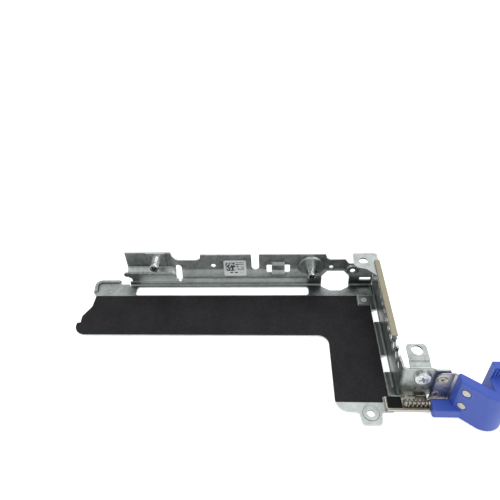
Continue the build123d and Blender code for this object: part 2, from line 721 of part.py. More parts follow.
    # Fixing holes, rivet hole and screw hole
    with BuildSketch(Plane.XY.offset(END_TOP + SHEET)):
        with Locations((FAR_TAB_HOLE_X, FAR_TAB_HOLE_Y)):
            Circle(FAR_TAB_HOLE / 2)
        with Locations((LEDGE_TAB_LEFT + LEDGE_TAB_WIDTH / 2, LEDGE_TAB_HOLE_Y)):
            Circle(LEDGE_TAB_HOLE / 2)
    extrude(amount=-3 * SHEET, mode=Mode.SUBTRACT)
    with BuildSketch():
        with Locations(FOOT_RIVET):
            Circle(RIVET_HOLE / 2)
    extrude(amount=FOOT_TOP + 1.0, mode=Mode.SUBTRACT)
    with BuildSketch(Plane.XY.offset(FOOT_TOP)):
        with Locations(FOOT_RIVET):
            Circle(RIVET_FLARE / 2)
    extrude(amount=-RIVET_FLARE_DEPTH, taper=45, mode=Mode.SUBTRACT)
    with BuildSketch(Plane.XZ.offset(-PLATE_BACK)):
        with Locations((SCREW_X, SCREW_Z)):
            Circle(SCREW_SHANK / 2)
    extrude(amount=SHEET, mode=Mode.SUBTRACT)
write(end_wall, "end_wall")

# Insulating film on the floor
with BuildPart() as insulator_film:
    with BuildSketch(Plane.XY.offset(FLOOR_TOP)):
        with BuildLine():
            outline(
                [
                    (LEG_LEFT, FILM_NEAR, 0.6),
                    (BASE_LEFT - GAP, FILM_NEAR, 0.6),
                    (BASE_LEFT - GAP, BASE_FAR + GAP, 0.3),
                    (FILM_RIGHT, BASE_FAR + GAP, 0.6),
                    (FILM_RIGHT, FOOT_TAB_NEAR - GAP, 0.6),
                    (FOOT_TAB_LEFT - GAP, FOOT_TAB_NEAR - GAP, 0.4),
                    (FOOT_TAB_LEFT - GAP, ARM_FAR, 0.6),
                ]
                + arm_corners()[::-1]
            )
        make_face()
    extrude(amount=FILM)
write(insulator_film, "insulator_film")

# Conductive foam strip on the top flange
with BuildPart() as emi_gasket:
    with BuildSketch(Plane.XZ.offset(-FLANGE_NEAR)):
        with Locations((END_OUTER, END_TOP)):
            Rectangle(GASKET_WIDTH, GASKET_HEIGHT, align=(Align.MAX, Align.MIN))
    extrude(amount=-(GASKET_FAR - FLANGE_NEAR))
    fillet(emi_gasket.edges().filter_by(Axis.Y).group_by(Axis.Z)[-1], 0.5)
write(emi_gasket, "emi_gasket")

# Bare label on the upper wall
joggle_height = JOGGLE_HIGH - JOGGLE_LOW
label_out = (SHEET + LABEL_THICKNESS) / 2
label_lift = label_out * ((JOGGLE**2 + joggle_height**2) ** 0.5 - joggle_height) / JOGGLE
with BuildPart() as label:
    label_strip = folded_strip(
        Plane.YZ.offset(LABEL_X - LABEL_WIDTH / 2),
        [
            (WALL_MIDDLE - label_out, LABEL_LOW - BEND - joggle_height / 2),
            (WALL_MIDDLE - label_out, JOGGLE_LOW + label_lift),
            (WALL_MIDDLE - label_out + JOGGLE, JOGGLE_HIGH + label_lift),
            (WALL_MIDDLE - label_out + JOGGLE, LABEL_HIGH + BEND),
        ],
        [JOGGLE_BEND + label_out, JOGGLE_BEND - label_out],
        LABEL_THICKNESS,
    )
    extrude(label_strip, amount=LABEL_WIDTH)
    with BuildSketch(Plane.XZ.offset(-WALL_INNER + SHEET)):
        with Locations((LABEL_X, (LABEL_LOW + LABEL_HIGH) / 2)):
            RectangleRounded(LABEL_WIDTH, LABEL_HIGH - LABEL_LOW, LABEL_CORNER)
    extrude(amount=-JOGGLE - 2 * SHEET, mode=Mode.INTERSECT)
write(label, "label")


def standoff(x, y, z, steps, spigot):
    """Threaded standoff towards -Y from its seat at y: diameter and length steps, and a spigot."""
    with BuildPart() as turned:
        start = y
        for diameter, length in steps:
            with BuildSketch(Plane.XZ.offset(-start)):
                with Locations((x, z)):
                    Circle(diameter / 2)
            extrude(amount=length)
            start -= length
        chamfer(turned.edges().filter_by(GeomType.CIRCLE).group_by(Axis.Y)[0], STANDOFF_CHAMFER)
        # Spigot pressed into the sheet
        with BuildSketch(Plane.XZ.offset(-y)):
            with Locations((x, z)):
                Circle(STANDOFF_THREAD / 2 + STANDOFF_WALL)
        extrude(amount=-spigot)
        with BuildSketch(Plane.XZ.offset(-start)):
            with Locations((x, z)):
                Circle(STANDOFF_THREAD / 2)
        extrude(amount=-STANDOFF_THREAD_DEPTH, mode=Mode.SUBTRACT)
    return turned


standoff_left = standoff(
    LEFT_STANDOFF_X,
    LEFT_SEAT,
    LEFT_STANDOFF_Z,
    [
        (
            LEFT_STANDOFF_DIAMETER,
            LEFT_STANDOFF_LENGTH - LEFT_PAD_RAISE - GROOVE_WIDTH - LEFT_STANDOFF_RING,
        ),
        (LEFT_STANDOFF_GROOVE, GROOVE_WIDTH),
        (LEFT_STANDOFF_DIAMETER, LEFT_STANDOFF_RING),
    ],
    SHEET + LEFT_PAD_RAISE,
)
write(standoff_left, "standoff_left")
standoff_right = standoff(
    RIGHT_STANDOFF_X,
    RIGHT_SEAT,
    RIGHT_STANDOFF_Z,
    [
        (RIGHT_STANDOFF_BASE, RIGHT_STANDOFF_STEP),
        (RIGHT_STANDOFF_NECK, RIGHT_STANDOFF_LENGTH - RIGHT_STANDOFF_STEP),
    ],
    SHEET,
)
write(standoff_right, "standoff_right")

# Ledge screw with a cross recess
with BuildPart() as ledge_screw:
    with BuildSketch(Plane.XZ.offset(-END_NEAR)):
        with Locations((SCREW_X, SCREW_Z)):
            Circle(SCREW_HEAD / 2)
    extrude(amount=SCREW_HEAD_HEIGHT)
    fillet(ledge_screw.edges().filter_by(GeomType.CIRCLE).group_by(Axis.Y)[0], SCREW_HEAD_ROUND)
    with BuildSketch(Plane.XZ.offset(-END_NEAR)):
        with Locations((SCREW_X, SCREW_Z)):
            Circle(SCREW_SHANK / 2)
    extrude(amount=-SCREW_LENGTH)
    with BuildSketch(Plane.XZ.offset(-END_NEAR + SCREW_HEAD_HEIGHT)):
        with Locations((SCREW_X, SCREW_Z)):
            Rectangle(RECESS_LENGTH, RECESS_WIDTH, rotation=RECESS_TURN)
            Rectangle(RECESS_LENGTH, RECESS_WIDTH, rotation=RECESS_TURN + 90)
    extrude(amount=-RECESS_DEPTH, taper=12, mode=Mode.SUBTRACT)
write(ledge_screw, "ledge_screw")


def flush_rivet(place, height):
    """Rivet flush at both ends, from the underside up to a height."""
    with BuildPart() as rivet:
        with BuildSketch():
            with Locations(place):
                Circle(RIVET_HOLE / 2)
        extrude(amount=height)
        for plane, direction in [(Plane.XY, 1), (Plane.XY.offset(height), -1)]:
            with BuildSketch(plane):
                with Locations(place):
                    Circle(RIVET_FLARE / 2)
            extrude(amount=direction * RIVET_FLARE_DEPTH, taper=45)
    return rivet


foot_rivet = flush_rivet(FOOT_RIVET, FOOT_TOP)
write(foot_rivet, "foot_rivet")
base_rivet = flush_rivet(BASE_RIVET, BASE_TOP)
write(base_rivet, "base_rivet")

# Latch base: shallow channel with two ears for the hinge pin
EAR_RIGHT = BASE_RIGHT - EAR_THICKNESS
TONGUE_SLOT_FAR = PLATE_BACK + 0.4
with BuildPart() as latch_base:
    with BuildSketch(Plane.XY.offset(FLOOR_TOP)):
        with BuildLine():
            outline(
                [
                    (BASE_LEFT, BASE_NEAR, 0.8),
                    (BASE_RIGHT, BASE_NEAR, 0.5),
                    (BASE_RIGHT, TONGUE_SLOT_FAR + 1.4, 0.8),
                    (END_OUTER + 2 * BEND, TONGUE_SLOT_FAR + 1.4, 0.8),
                    (END_OUTER + 2 * BEND, BASE_FAR, 0.5),
                    (BASE_LEFT, BASE_FAR, 0.8),
                ]
            )
        make_face()
        with Locations((TONGUE_X, (END_NEAR + PLATE_BACK) / 2)):
            Rectangle(TONGUE_WIDTH + 0.4, SHEET + 0.4, mode=Mode.SUBTRACT)
        with Locations(BASE_RIVET):
            Circle(RIVET_HOLE / 2, mode=Mode.SUBTRACT)
    extrude(amount=SHEET)
    with BuildSketch(Plane.XY.offset(BASE_TOP)):
        with Locations(BASE_RIVET):
            Circle(RIVET_FLARE / 2)
    extrude(amount=-RIVET_FLARE_DEPTH, taper=45, mode=Mode.SUBTRACT)
    # Rear lip and the finger at the rear left corner
    for left, width, near, top in [
        (REAR_LIP_LEFT, EAR_RIGHT - REAR_LIP_LEFT, REAR_LIP_NEAR, REAR_LIP_TOP),
        (FINGER_TIP_LEFT, FINGER_TIP_WIDTH, BASE_FAR - EAR_THICKNESS, FINGER_TIP_TOP),
    ]:
        with BuildSketch(Plane.XY.offset(BASE_TOP)):
            with Locations((left, near)):
                Rectangle(width, EAR_THICKNESS, align=(Align.MIN, Align.MIN))
        extrude(amount=top - BASE_TOP)
    # Upturned lip along the near and left edges
    with BuildSketch(Plane.XY.offset(BASE_TOP)):
        with BuildLine():
            FilletPolyline(
                (BASE_RIGHT, BASE_NEAR + SHEET / 2),
                (BASE_LEFT + SHEET / 2, BASE_NEAR + SHEET / 2),
                (BASE_LEFT + SHEET / 2, BASE_FAR - GAP),
                radius=0.9,
            )
        trace(line_width=SHEET)
    extrude(amount=BASE_LIP)
    # Ears
    for x in (EAR_LEFT, EAR_RIGHT):
        with BuildSketch(Plane.YZ.offset(x)):
            with Locations((HINGE_Y, HINGE_Z)):
                Circle(EAR_WIDTH / 2)
            with Locations((HINGE_Y, BASE_TOP)):
                Rectangle(EAR_WIDTH, HINGE_Z - BASE_TOP, align=(Align.CENTER, Align.MIN))
        extrude(amount=EAR_THICKNESS)
    with BuildSketch(Plane.YZ.offset(EAR_LEFT - 1.0)):
        with Locations((HINGE_Y, HINGE_Z)):
            Circle(PIN_DIAMETER / 2)
    extrude(amount=BASE_RIGHT - EAR_LEFT + 2.0, mode=Mode.SUBTRACT)
write(latch_base, "latch_base")

# Black pad in the channel's left end
with BuildPart() as corner_pad:
    with BuildSketch(Plane.XY.offset(BASE_TOP)):
        with Locations((BASE_LEFT + SHEET + GAP, BASE_NEAR + SHEET + GAP)):
            RectangleRounded(
                PAD_LENGTH,
                BASE_FAR - BASE_NEAR - SHEET - 2 * GAP,
                PAD_CORNER,
                align=(Align.MIN, Align.MIN),
            )
    extrude(amount=PAD_HEIGHT)
write(corner_pad, "corner_pad")

# Hinge pin with a head outside the left ear
with BuildPart() as hinge_pin:
    with BuildSketch(Plane.YZ.offset(EAR_LEFT - PIN_HEAD_HEIGHT)):
        with Locations((HINGE_Y, HINGE_Z)):
            Circle(PIN_HEAD / 2)
    extrude(amount=PIN_HEAD_HEIGHT)
    with BuildSketch(Plane.YZ.offset(EAR_LEFT)):
        with Locations((HINGE_Y, HINGE_Z)):
            Circle(PIN_DIAMETER / 2)
    extrude(amount=PIN_RIGHT - EAR_LEFT)
    chamfer(hinge_pin.edges().filter_by(GeomType.CIRCLE).group_by(Axis.X)[-1], 0.3)
write(hinge_pin, "hinge_pin")

# Torsion spring round the pin, one leg down on the base and one reaching in front of the leaf
COIL_RADIUS = (COIL_DIAMETER - COIL_WIRE) / 2
COIL_LEFT = EAR_LEFT + EAR_THICKNESS + COIL_WIRE + PIN_PLAY
COIL_PLANE = Plane(origin=(COIL_LEFT, HINGE_Y, HINGE_Z), x_dir=(0, -1, 0), z_dir=(1, 0, 0))
with BuildPart() as torsion_spring:
    with BuildLine() as spring_line:
        coil_line = Helix(
            COIL_PITCH, COIL_TURNS * COIL_PITCH, COIL_RADIUS, lefthand=True, mode=Mode.PRIVATE
        )
        coil = COIL_PLANE.location * coil_line
        add(coil)
        Line(coil @ 0 - coil % 0 * FIXED_LEG, coil @ 0)
        leg_bend_at = coil @ 1 + coil % 1 * MOVING_LEG
        FilletPolyline(coil @ 1, leg_bend_at, leg_bend_at + Vector(LEG_TIP, 0, 0), radius=COIL_WIRE)
    spring_wire = spring_line.wires()[0]
    # Ten narrow flats stand for the round wire, so its facets follow the helix exactly
    with BuildSketch(Plane(spring_wire @ 0, z_dir=spring_wire % 0)):
        RegularPolygon(COIL_WIRE / 2, WIRE_FLATS)
    sweep(path=spring_wire)
write(torsion_spring, "torsion_spring")

# Latch directions seen from above: along the handle, and square to its near face
ALONG = Vector(1, 0, 0).rotate(Axis.Z, -HANDLE_TURN)
ACROSS = Vector(0, 1, 0).rotate(Axis.Z, -HANDLE_TURN)
HANDLE_CORNER = Vector(HANDLE_LEFT, HANDLE_NEAR, 0)
NOSE_START = HANDLE_CORNER + ALONG * HANDLE_STRAIGHT
LEAF_MIDDLE = LEAF_NEAR + LEAF_THICKNESS / 2
LEAF_BACK = LEAF_NEAR + LEAF_THICKNESS
LEAF_DEPTH = HANDLE_THICKNESS - 0.7
LEAF_LINE = HANDLE_CORNER + ACROSS * LEAF_DEPTH
LEAF_BEND_AT = LEAF_LINE + ALONG * ((LEAF_LINE.Y - LEAF_MIDDLE) / -ALONG.Y)
LEAF_END = LEAF_BEND_AT + ALONG * LEAF_INSIDE
BACKING_BACK = LEAF_BACK + BACKING_THICKNESS
LEAF_RIVET_PLACES = [(LEAF_RIVET_X, LEAF_RIVET_LOW), (LEAF_RIVET_X + 1.0, LEAF_RIVET_HIGH)]
HANDLE_RIVET_LENGTH = LEAF_DEPTH - LEAF_THICKNESS / 2


def leaf_blank():
    """Blank of the stainless leaf, bent to run inside the handle."""
    with BuildPart() as leaf:
        with BuildSketch(Plane.XY.offset(LEAF_BOTTOM)):
            with BuildLine():
                FilletPolyline(
                    (LEAF_LEFT - LEAF_LEAN, LEAF_MIDDLE),
                    (LEAF_BEND_AT.X, LEAF_MIDDLE),
                    (LEAF_END.X, LEAF_END.Y),
                    radius=LEAF_BEND,
                )
            trace(line_width=LEAF_THICKNESS)
        extrude(amount=LEAF_TOP - LEAF_BOTTOM)
    return leaf.part


with BuildPart() as latch_leaf:
    add(leaf_blank())
    # Left edge leans in and rounds over at the top
    with BuildSketch(Plane.XZ.offset(-LEAF_BACK - 0.5)):
        with BuildLine():
            outline(
                [
                    (LEAF_LEFT - 2 * LEAF_LEAN, LEAF_BOTTOM - 1.0, 0),
                    (LEAF_LEFT - LEAF_LEAN, LEAF_BOTTOM, 0),
                    (LEAF_LEFT, RIDGE_LOW, 2.0),
                    (LEAF_LEFT, LEAF_TOP, LEAF_CORNER),
                    (LEAF_BEND_AT.X, LEAF_TOP, 0),
                    (LEAF_BEND_AT.X, LEAF_TOP + 1.0, 0),
                    (LEAF_LEFT - 2 * LEAF_LEAN, LEAF_TOP + 1.0, 0),
                ]
            )
        make_face()
    extrude(amount=LEAF_THICKNESS + 1.0, mode=Mode.SUBTRACT)
    # Pressed ridge that stiffens the leaf
    with BuildSketch(Plane.XZ.offset(-LEAF_NEAR)):
        with BuildLine():
            Polyline(
                (RIDGE_LEFT, RIDGE_HIGH),
                (RIDGE_RIGHT, RIDGE_LOW + RIDGE_WIDTH),
                (RIDGE_RIGHT, RIDGE_LOW),
                (RIDGE_LEFT + RIDGE_RAISE, RIDGE_HIGH - RIDGE_WIDTH),
                close=True,
            )
        make_face()
    extrude(amount=RIDGE_RAISE, taper=30)
    with BuildSketch(Plane.XZ.offset(-LEAF_BACK)):
        with Locations(*LEAF_RIVET_PLACES):
            Circle(RIVET_SHANK / 2)
    extrude(amount=LEAF_THICKNESS, mode=Mode.SUBTRACT)
    # Countersunk rivet seats
    with BuildSketch(Plane.XZ.offset(-LEAF_NEAR)):
        with Locations(*LEAF_RIVET_PLACES):
            Circle(RIVET_SEAT / 2)
    extrude(amount=-RIVET_SEAT_DEPTH, taper=50, mode=Mode.SUBTRACT)
write(latch_leaf, "latch_leaf")


def seated_rivet(seat, place, length, hollow):
    """Rivet with a low head on the floor of its seat, a shank behind it and a hollow of some depth."""
    with BuildPart() as rivet:
        with BuildSketch(seat):
            with Locations(place):
                Circle(RIVET_HEAD / 2)
        extrude(amount=RIVET_DOME)
        outer_face = rivet.faces().sort_by(Axis(seat.origin, seat.z_dir))[-1]
        fillet(outer_face.edges(), RIVET_DOME / 2)
        with BuildSketch(seat):
            with Locations(place):
                Circle(RIVET_SHANK / 2)
        extrude(amount=-length)
        if hollow > 0:
            with BuildSketch(seat.offset(RIVET_DOME)):
                with Locations(place):
                    Circle(RIVET_HOLLOW / 2)
            extrude(amount=-hollow, mode=Mode.SUBTRACT)
    return rivet


LEAF_SEAT = Plane.XZ.offset(-LEAF_NEAR - RIVET_SEAT_DEPTH)
leaf_rivet_lower, leaf_rivet_upper = [
    seated_rivet(LEAF_SEAT, place, BACKING_BACK - LEAF_NEAR - RIVET_SEAT_DEPTH, RIVET_HOLLOW_DEPTH)
    for place in LEAF_RIVET_PLACES
]
write(leaf_rivet_lower, "leaf_rivet_lower")
write(leaf_rivet_upper, "leaf_rivet_upper")

# Handle: turned slab that rounds into a nose, foot block, backing tongue and finger wall
NEAR_FACE = Plane(origin=HANDLE_CORNER, x_dir=ALONG, z_dir=ACROSS * -1)
HANDLE_RIVET_PLACES = [(HANDLE_RIVET_ALONG, HANDLE_RIVET_LOW), (HANDLE_RIVET_ALONG, HANDLE_RIVET_HIGH)]
FAR_CORNER_X = HANDLE_LEFT - 0.6
FAR_CORNER_Y = HANDLE_NEAR + HANDLE_THICKNESS / ACROSS.Y
with BuildPart() as latch_handle:
    with BuildSketch(Plane.XY.offset(HANDLE_BOTTOM)):
        with BuildLine():
            near_line = Line((HANDLE_LEFT, HANDLE_NEAR), (NOSE_START.X, NOSE_START.Y))
            nose = JernArc(near_line @ 1, near_line % 1, NOSE_RADIUS, 90 + HANDLE_TURN)
            side = Line(nose @ 1, ((nose @ 1).X, FINGER_NEAR + FINGER_THICKNESS))
            back = Line(side @ 1, (FINGER_LEFT, FINGER_NEAR + FINGER_THICKNESS))
            inner = Line(back @ 1, (FINGER_LEFT, (NOSE_START + ACROSS * HANDLE_THICKNESS).Y))
            far = Line(inner @ 1, (FAR_CORNER_X, FAR_CORNER_Y))
            Line(far @ 1, near_line @ 0)
        make_face()
    extrude(amount=HANDLE_TOP - HANDLE_BOTTOM)
    left_edges = [
        edge for edge in latch_handle.edges().filter_by(Axis.Z) if edge.center().X < HANDLE_LEFT + PIN_PLAY
    ]
    fillet(left_edges, HANDLE_EDGE)
    top_face = latch_handle.faces().sort_by(Axis.Z)[-1]
    fillet(top_face.edges(), HANDLE_EDGE)
    # Foot block, with a knuckle round the pin
    with BuildSketch(Plane.XY.offset(HANDLE_BOTTOM)):
        with Locations((FOOT_BLOCK_LEFT, FOOT_BLOCK_NEAR)):
            RectangleRounded(
                FOOT_BLOCK_RIGHT - FOOT_BLOCK_LEFT,
                HINGE_Y - FOOT_BLOCK_NEAR,
                FOOT_BLOCK_EDGE,
                align=(Align.MIN, Align.MIN),
            )
    extrude(amount=FOOT_BLOCK_TOP - HANDLE_BOTTOM)
    foot_block_edges = [
        edge
        for edge in latch_handle.edges().filter_by(Axis.X)
        if abs(edge.center().Y - FOOT_BLOCK_NEAR) < PIN_PLAY
    ]
    fillet(foot_block_edges, FOOT_BLOCK_EDGE / 2)
    with BuildSketch(Plane.YZ.offset(FOOT_BLOCK_LEFT)):
        with Locations((HINGE_Y, HINGE_Z)):
            Circle(FOOT_BLOCK_TOP - HINGE_Z)
    extrude(amount=FOOT_BLOCK_RIGHT - FOOT_BLOCK_LEFT)
    # Tongue behind the leaf
    with BuildSketch(Plane.XY.offset(HANDLE_BOTTOM + BACKING_RISE)):
        with BuildLine():
            Polyline(
                (BACKING_LEFT, LEAF_BACK),
                (LEAF_BEND_AT.X, LEAF_BACK),
                (LEAF_END.X, LEAF_END.Y + LEAF_THICKNESS),
                (LEAF_END.X, BACKING_BACK),
                (BACKING_LEFT, BACKING_BACK),
                close=True,
            )
        make_face()
    extrude(amount=LEAF_TOP - BACKING_SETBACK - HANDLE_BOTTOM - BACKING_RISE)
    # Finger wall with grip ribs
    with BuildSketch(Plane.XY.offset(HANDLE_TOP - 2 * HANDLE_EDGE)):
        with Locations((FINGER_LEFT, FINGER_NEAR)):
            Rectangle((nose @ 1).X - FINGER_LEFT, FINGER_THICKNESS, align=(Align.MIN, Align.MIN))
    extrude(amount=FINGER_TOP - HANDLE_TOP + 2 * HANDLE_EDGE)
    finger_face = latch_handle.faces().sort_by(Axis.Z)[-1]
    fillet(finger_face.edges(), GRIP_EDGE)
    with BuildSketch(Plane.XY.offset(HANDLE_TOP)):
        for rib in range(GRIP_RIBS):
            with Locations((FINGER_LEFT + GRIP_EDGE + rib * GRIP_PITCH, FINGER_NEAR)):
                Rectangle(GRIP_PITCH / 2, GRIP_DEPTH, align=(Align.MIN, Align.CENTER))
    extrude(amount=FINGER_TOP - HANDLE_TOP - GRIP_PITCH, mode=Mode.SUBTRACT)
    # Pocket for the leaf, pin bore and rivet holes
    add(leaf_blank(), mode=Mode.SUBTRACT)
    with BuildSketch(Plane.YZ.offset(FOOT_BLOCK_LEFT)):
        with Locations((HINGE_Y, HINGE_Z)):
            Circle(PIN_DIAMETER / 2 + PIN_PLAY)
    extrude(amount=PIN_RIGHT - FOOT_BLOCK_LEFT + GAP, mode=Mode.SUBTRACT)
    with BuildSketch(Plane.XZ.offset(-LEAF_BACK)):
        with Locations(*LEAF_RIVET_PLACES):
            Circle(RIVET_SHANK / 2)
    extrude(amount=-BACKING_THICKNESS, mode=Mode.SUBTRACT)
    for diameter, depth in [(RIVET_SHANK, HANDLE_RIVET_LENGTH), (RIVET_SEAT, RIVET_SEAT_DEPTH)]:
        with BuildSketch(NEAR_FACE):
            with Locations(*HANDLE_RIVET_PLACES):
                Circle(diameter / 2)
        extrude(amount=-depth, mode=Mode.SUBTRACT)
write(latch_handle, "latch_handle")

HANDLE_SEAT = NEAR_FACE.offset(-RIVET_SEAT_DEPTH)
handle_rivet_lower, handle_rivet_upper = [
    seated_rivet(HANDLE_SEAT, place, HANDLE_RIVET_LENGTH - RIVET_SEAT_DEPTH, 0)
    for place in HANDLE_RIVET_PLACES
]
write(handle_rivet_lower, "handle_rivet_lower")
write(handle_rivet_upper, "handle_rivet_upper")
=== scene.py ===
"""Looks of a low-profile server riser cage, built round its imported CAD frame."""

import math

import bmesh
import bpy
from mathutils import Matrix, Vector, noise


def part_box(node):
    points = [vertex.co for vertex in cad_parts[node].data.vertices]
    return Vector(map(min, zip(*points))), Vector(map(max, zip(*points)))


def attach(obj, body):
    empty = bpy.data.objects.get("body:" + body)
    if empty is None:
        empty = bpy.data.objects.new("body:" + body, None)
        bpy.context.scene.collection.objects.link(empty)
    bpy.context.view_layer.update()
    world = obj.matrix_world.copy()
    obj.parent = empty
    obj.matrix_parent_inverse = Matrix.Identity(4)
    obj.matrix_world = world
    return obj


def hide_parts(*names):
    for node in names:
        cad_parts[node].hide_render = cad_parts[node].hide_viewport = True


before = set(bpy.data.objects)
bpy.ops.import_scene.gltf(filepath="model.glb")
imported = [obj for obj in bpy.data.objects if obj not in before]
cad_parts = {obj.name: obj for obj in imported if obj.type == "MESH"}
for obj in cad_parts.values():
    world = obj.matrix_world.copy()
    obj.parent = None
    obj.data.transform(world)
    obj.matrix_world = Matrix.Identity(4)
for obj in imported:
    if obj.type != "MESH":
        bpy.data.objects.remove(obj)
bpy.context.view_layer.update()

bl_info = {
    "name": "Server riser cage",
    "version": (1, 1, 0),
    "blender": (4, 5, 0),
    "location": "View3D > Sidebar > Riser",
    "description": "Materials, foam and sheet pieces and stage of a low-profile server riser cage",
    "category": "Object",
}

MM = 0.001
# How near to a given height a vertex has to be to count as being at it
SAME_HEIGHT = 0.1 * MM
# Sockets of the Mix node when it mixes colours
MIX_FACTOR = 0
MIX_LOW = 6
MIX_HIGH = 7
MIX_RESULT = 2


def linear(code):
    """Linear colour of an sRGB hex code such as 4a6fc4."""
    channels = []
    for start in (0, 2, 4):
        value = int(code[start : start + 2], 16) / 255
        channels.append(value / 12.92 if value <= 0.04045 else ((value + 0.055) / 1.055) ** 2.4)
    return (*channels, 1.0)


def colour_choice(name, description, code):
    """Colour property of a finish, with its default as an sRGB hex code."""
    return bpy.props.FloatVectorProperty(
        name=name,
        description=description,
        subtype="COLOR",
        size=4,
        min=0.0,
        max=1.0,
        default=linear(code),
    )


def length_choice(name, description, millimetres):
    """Length property, with its default in millimetres."""
    return bpy.props.FloatProperty(
        name=name, description=description, unit="LENGTH", min=0.0, default=millimetres * MM
    )


def add_node(tree, kind, inputs=None, links=None, **settings):
    """Add a node, set its properties and inputs, and link sockets of other nodes into it."""
    node = tree.nodes.new(kind)
    for name, value in settings.items():
        setattr(node, name, value)
    for name, value in (inputs or {}).items():
        node.inputs[name].default_value = value
    for name, socket in (links or {}).items():
        tree.links.new(socket, node.inputs[name])
    return node


def start_material(name, **sockets):
    """New node material with a Principled shader whose sockets are set by name."""
    material = bpy.data.materials.new(name)
    material.use_nodes = True
    tree = material.node_tree
    shader = tree.nodes["Principled BSDF"]
    for socket, value in sockets.items():
        shader.inputs[socket.replace("_", " ")].default_value = value
    return material, tree, shader


def object_points(tree, stretch=(1, 1, 1)):
    """Object coordinates in millimetres, squeezed by a factor along each axis."""
    source = add_node(tree, "ShaderNodeTexCoord")
    mapping = add_node(
        tree,
        "ShaderNodeMapping",
        inputs={"Scale": [value / MM for value in stretch]},
        links={"Vector": source.outputs["Object"]},
    )
    return mapping.outputs["Vector"]


def galvanised_sheet(name, colours, stretch):
    """Hot-dip galvanised steel, rolled and folded; stretch lays the rolling lines."""
    # Zinc crystals shift the grey a little, and are drawn 1.7 mm wide so that they show.
    # Rolling lines run along the sheet and oil darkens it in patches; the inner corners are darkened
    # with painted shade, and the folds and cut edges are lightened with a painted highlight
    crystal = 1.7
    patch = 11.0
    shade_reach = 24.0
    highlight_reach = 0.45
    line_depth = 0.003
    material, tree, shader = start_material(name, Metallic=1.0)
    points = object_points(tree)
    crystals = add_node(
        tree,
        "ShaderNodeTexVoronoi",
        inputs={"Scale": 1 / crystal},
        links={"Vector": points},
    )
    patches = add_node(
        tree,
        "ShaderNodeTexNoise",
        inputs={"Scale": 1 / patch, "Detail": 5.0, "Roughness": 0.6},
        links={"Vector": points},
    )
    patch_depth = add_node(
        tree,
        "ShaderNodeMapRange",
        inputs={"From Min": 0.35, "From Max": 0.65},
        links={"Value": patches.outputs["Fac"]},
    )
    cloudy = add_node(
        tree,
        "ShaderNodeMix",
        data_type="RGBA",
        inputs={MIX_LOW: colours.steel_dark, MIX_HIGH: colours.steel},
        links={MIX_FACTOR: patch_depth.outputs["Result"]},
    )
    crystal_depth = add_node(
        tree,
        "ShaderNodeMapRange",
        inputs={"To Max": 0.5},
        links={"Value": crystals.outputs["Color"]},
    )
    spangled = add_node(
        tree,
        "ShaderNodeMix",
        data_type="RGBA",
        inputs={MIX_HIGH: colours.steel_light},
        links={MIX_FACTOR: crystal_depth.outputs["Result"], MIX_LOW: cloudy.outputs[MIX_RESULT]},
    )
    # Painted shade: the colour darkens where the sheet lies within 24 mm of other surfaces, in the
    # inner corners and on floors near the walls
    corners = add_node(
        tree,
        "ShaderNodeAmbientOcclusion",
        only_local=True,
        samples=8,
        inputs={"Distance": shade_reach * MM},
    )
    corner_shade = add_node(
        tree,
        "ShaderNodeMapRange",
        inputs={"From Min": 0.93, "From Max": 0.68, "To Max": 0.92},
        links={"Value": corners.outputs["AO"]},
    )
    shaded = add_node(
        tree,
        "ShaderNodeMix",
        data_type="RGBA",
        inputs={MIX_HIGH: colours.steel_corner_shade},
        links={MIX_FACTOR: corner_shade.outputs["Result"], MIX_LOW: spangled.outputs[MIX_RESULT]},
    )
    # Painted highlight: the folds and cut edges are lightened towards the edge colour
    edges = add_node(
        tree,
        "ShaderNodeAmbientOcclusion",
        inside=True,
        only_local=True,
        samples=8,
        inputs={"Distance": highlight_reach * MM},
    )
    highlight_mask = add_node(
        tree,
        "ShaderNodeMapRange",
        inputs={"From Min": 0.9, "From Max": 0.55, "To Max": 0.8},
        links={"Value": edges.outputs["AO"]},
    )
    highlighted = add_node(
        tree,
        "ShaderNodeMix",
        data_type="RGBA",
        inputs={MIX_HIGH: colours.steel_edge_highlight},
        links={MIX_FACTOR: highlight_mask.outputs["Result"], MIX_LOW: shaded.outputs[MIX_RESULT]},
    )
    tree.links.new(highlighted.outputs[MIX_RESULT], shader.inputs["Base Color"])
    gloss = add_node(
        tree,
        "ShaderNodeMapRange",
        inputs={"To Min": 0.32, "To Max": 0.42},
        links={"Value": crystals.outputs["Color"]},
    )
    tree.links.new(gloss.outputs["Result"], shader.inputs["Roughness"])
    lines = add_node(
        tree,
        "ShaderNodeTexNoise",
        inputs={"Scale": 1.0, "Detail": 2.0},
        links={"Vector": object_points(tree, stretch)},
    )
    relief = add_node(
        tree,
        "ShaderNodeBump",
        inputs={"Strength": 0.4, "Distance": line_depth * MM},
        links={"Height": lines.outputs["Fac"]},
    )
    tree.links.new(relief.outputs["Normal"], shader.inputs["Normal"])
    return material


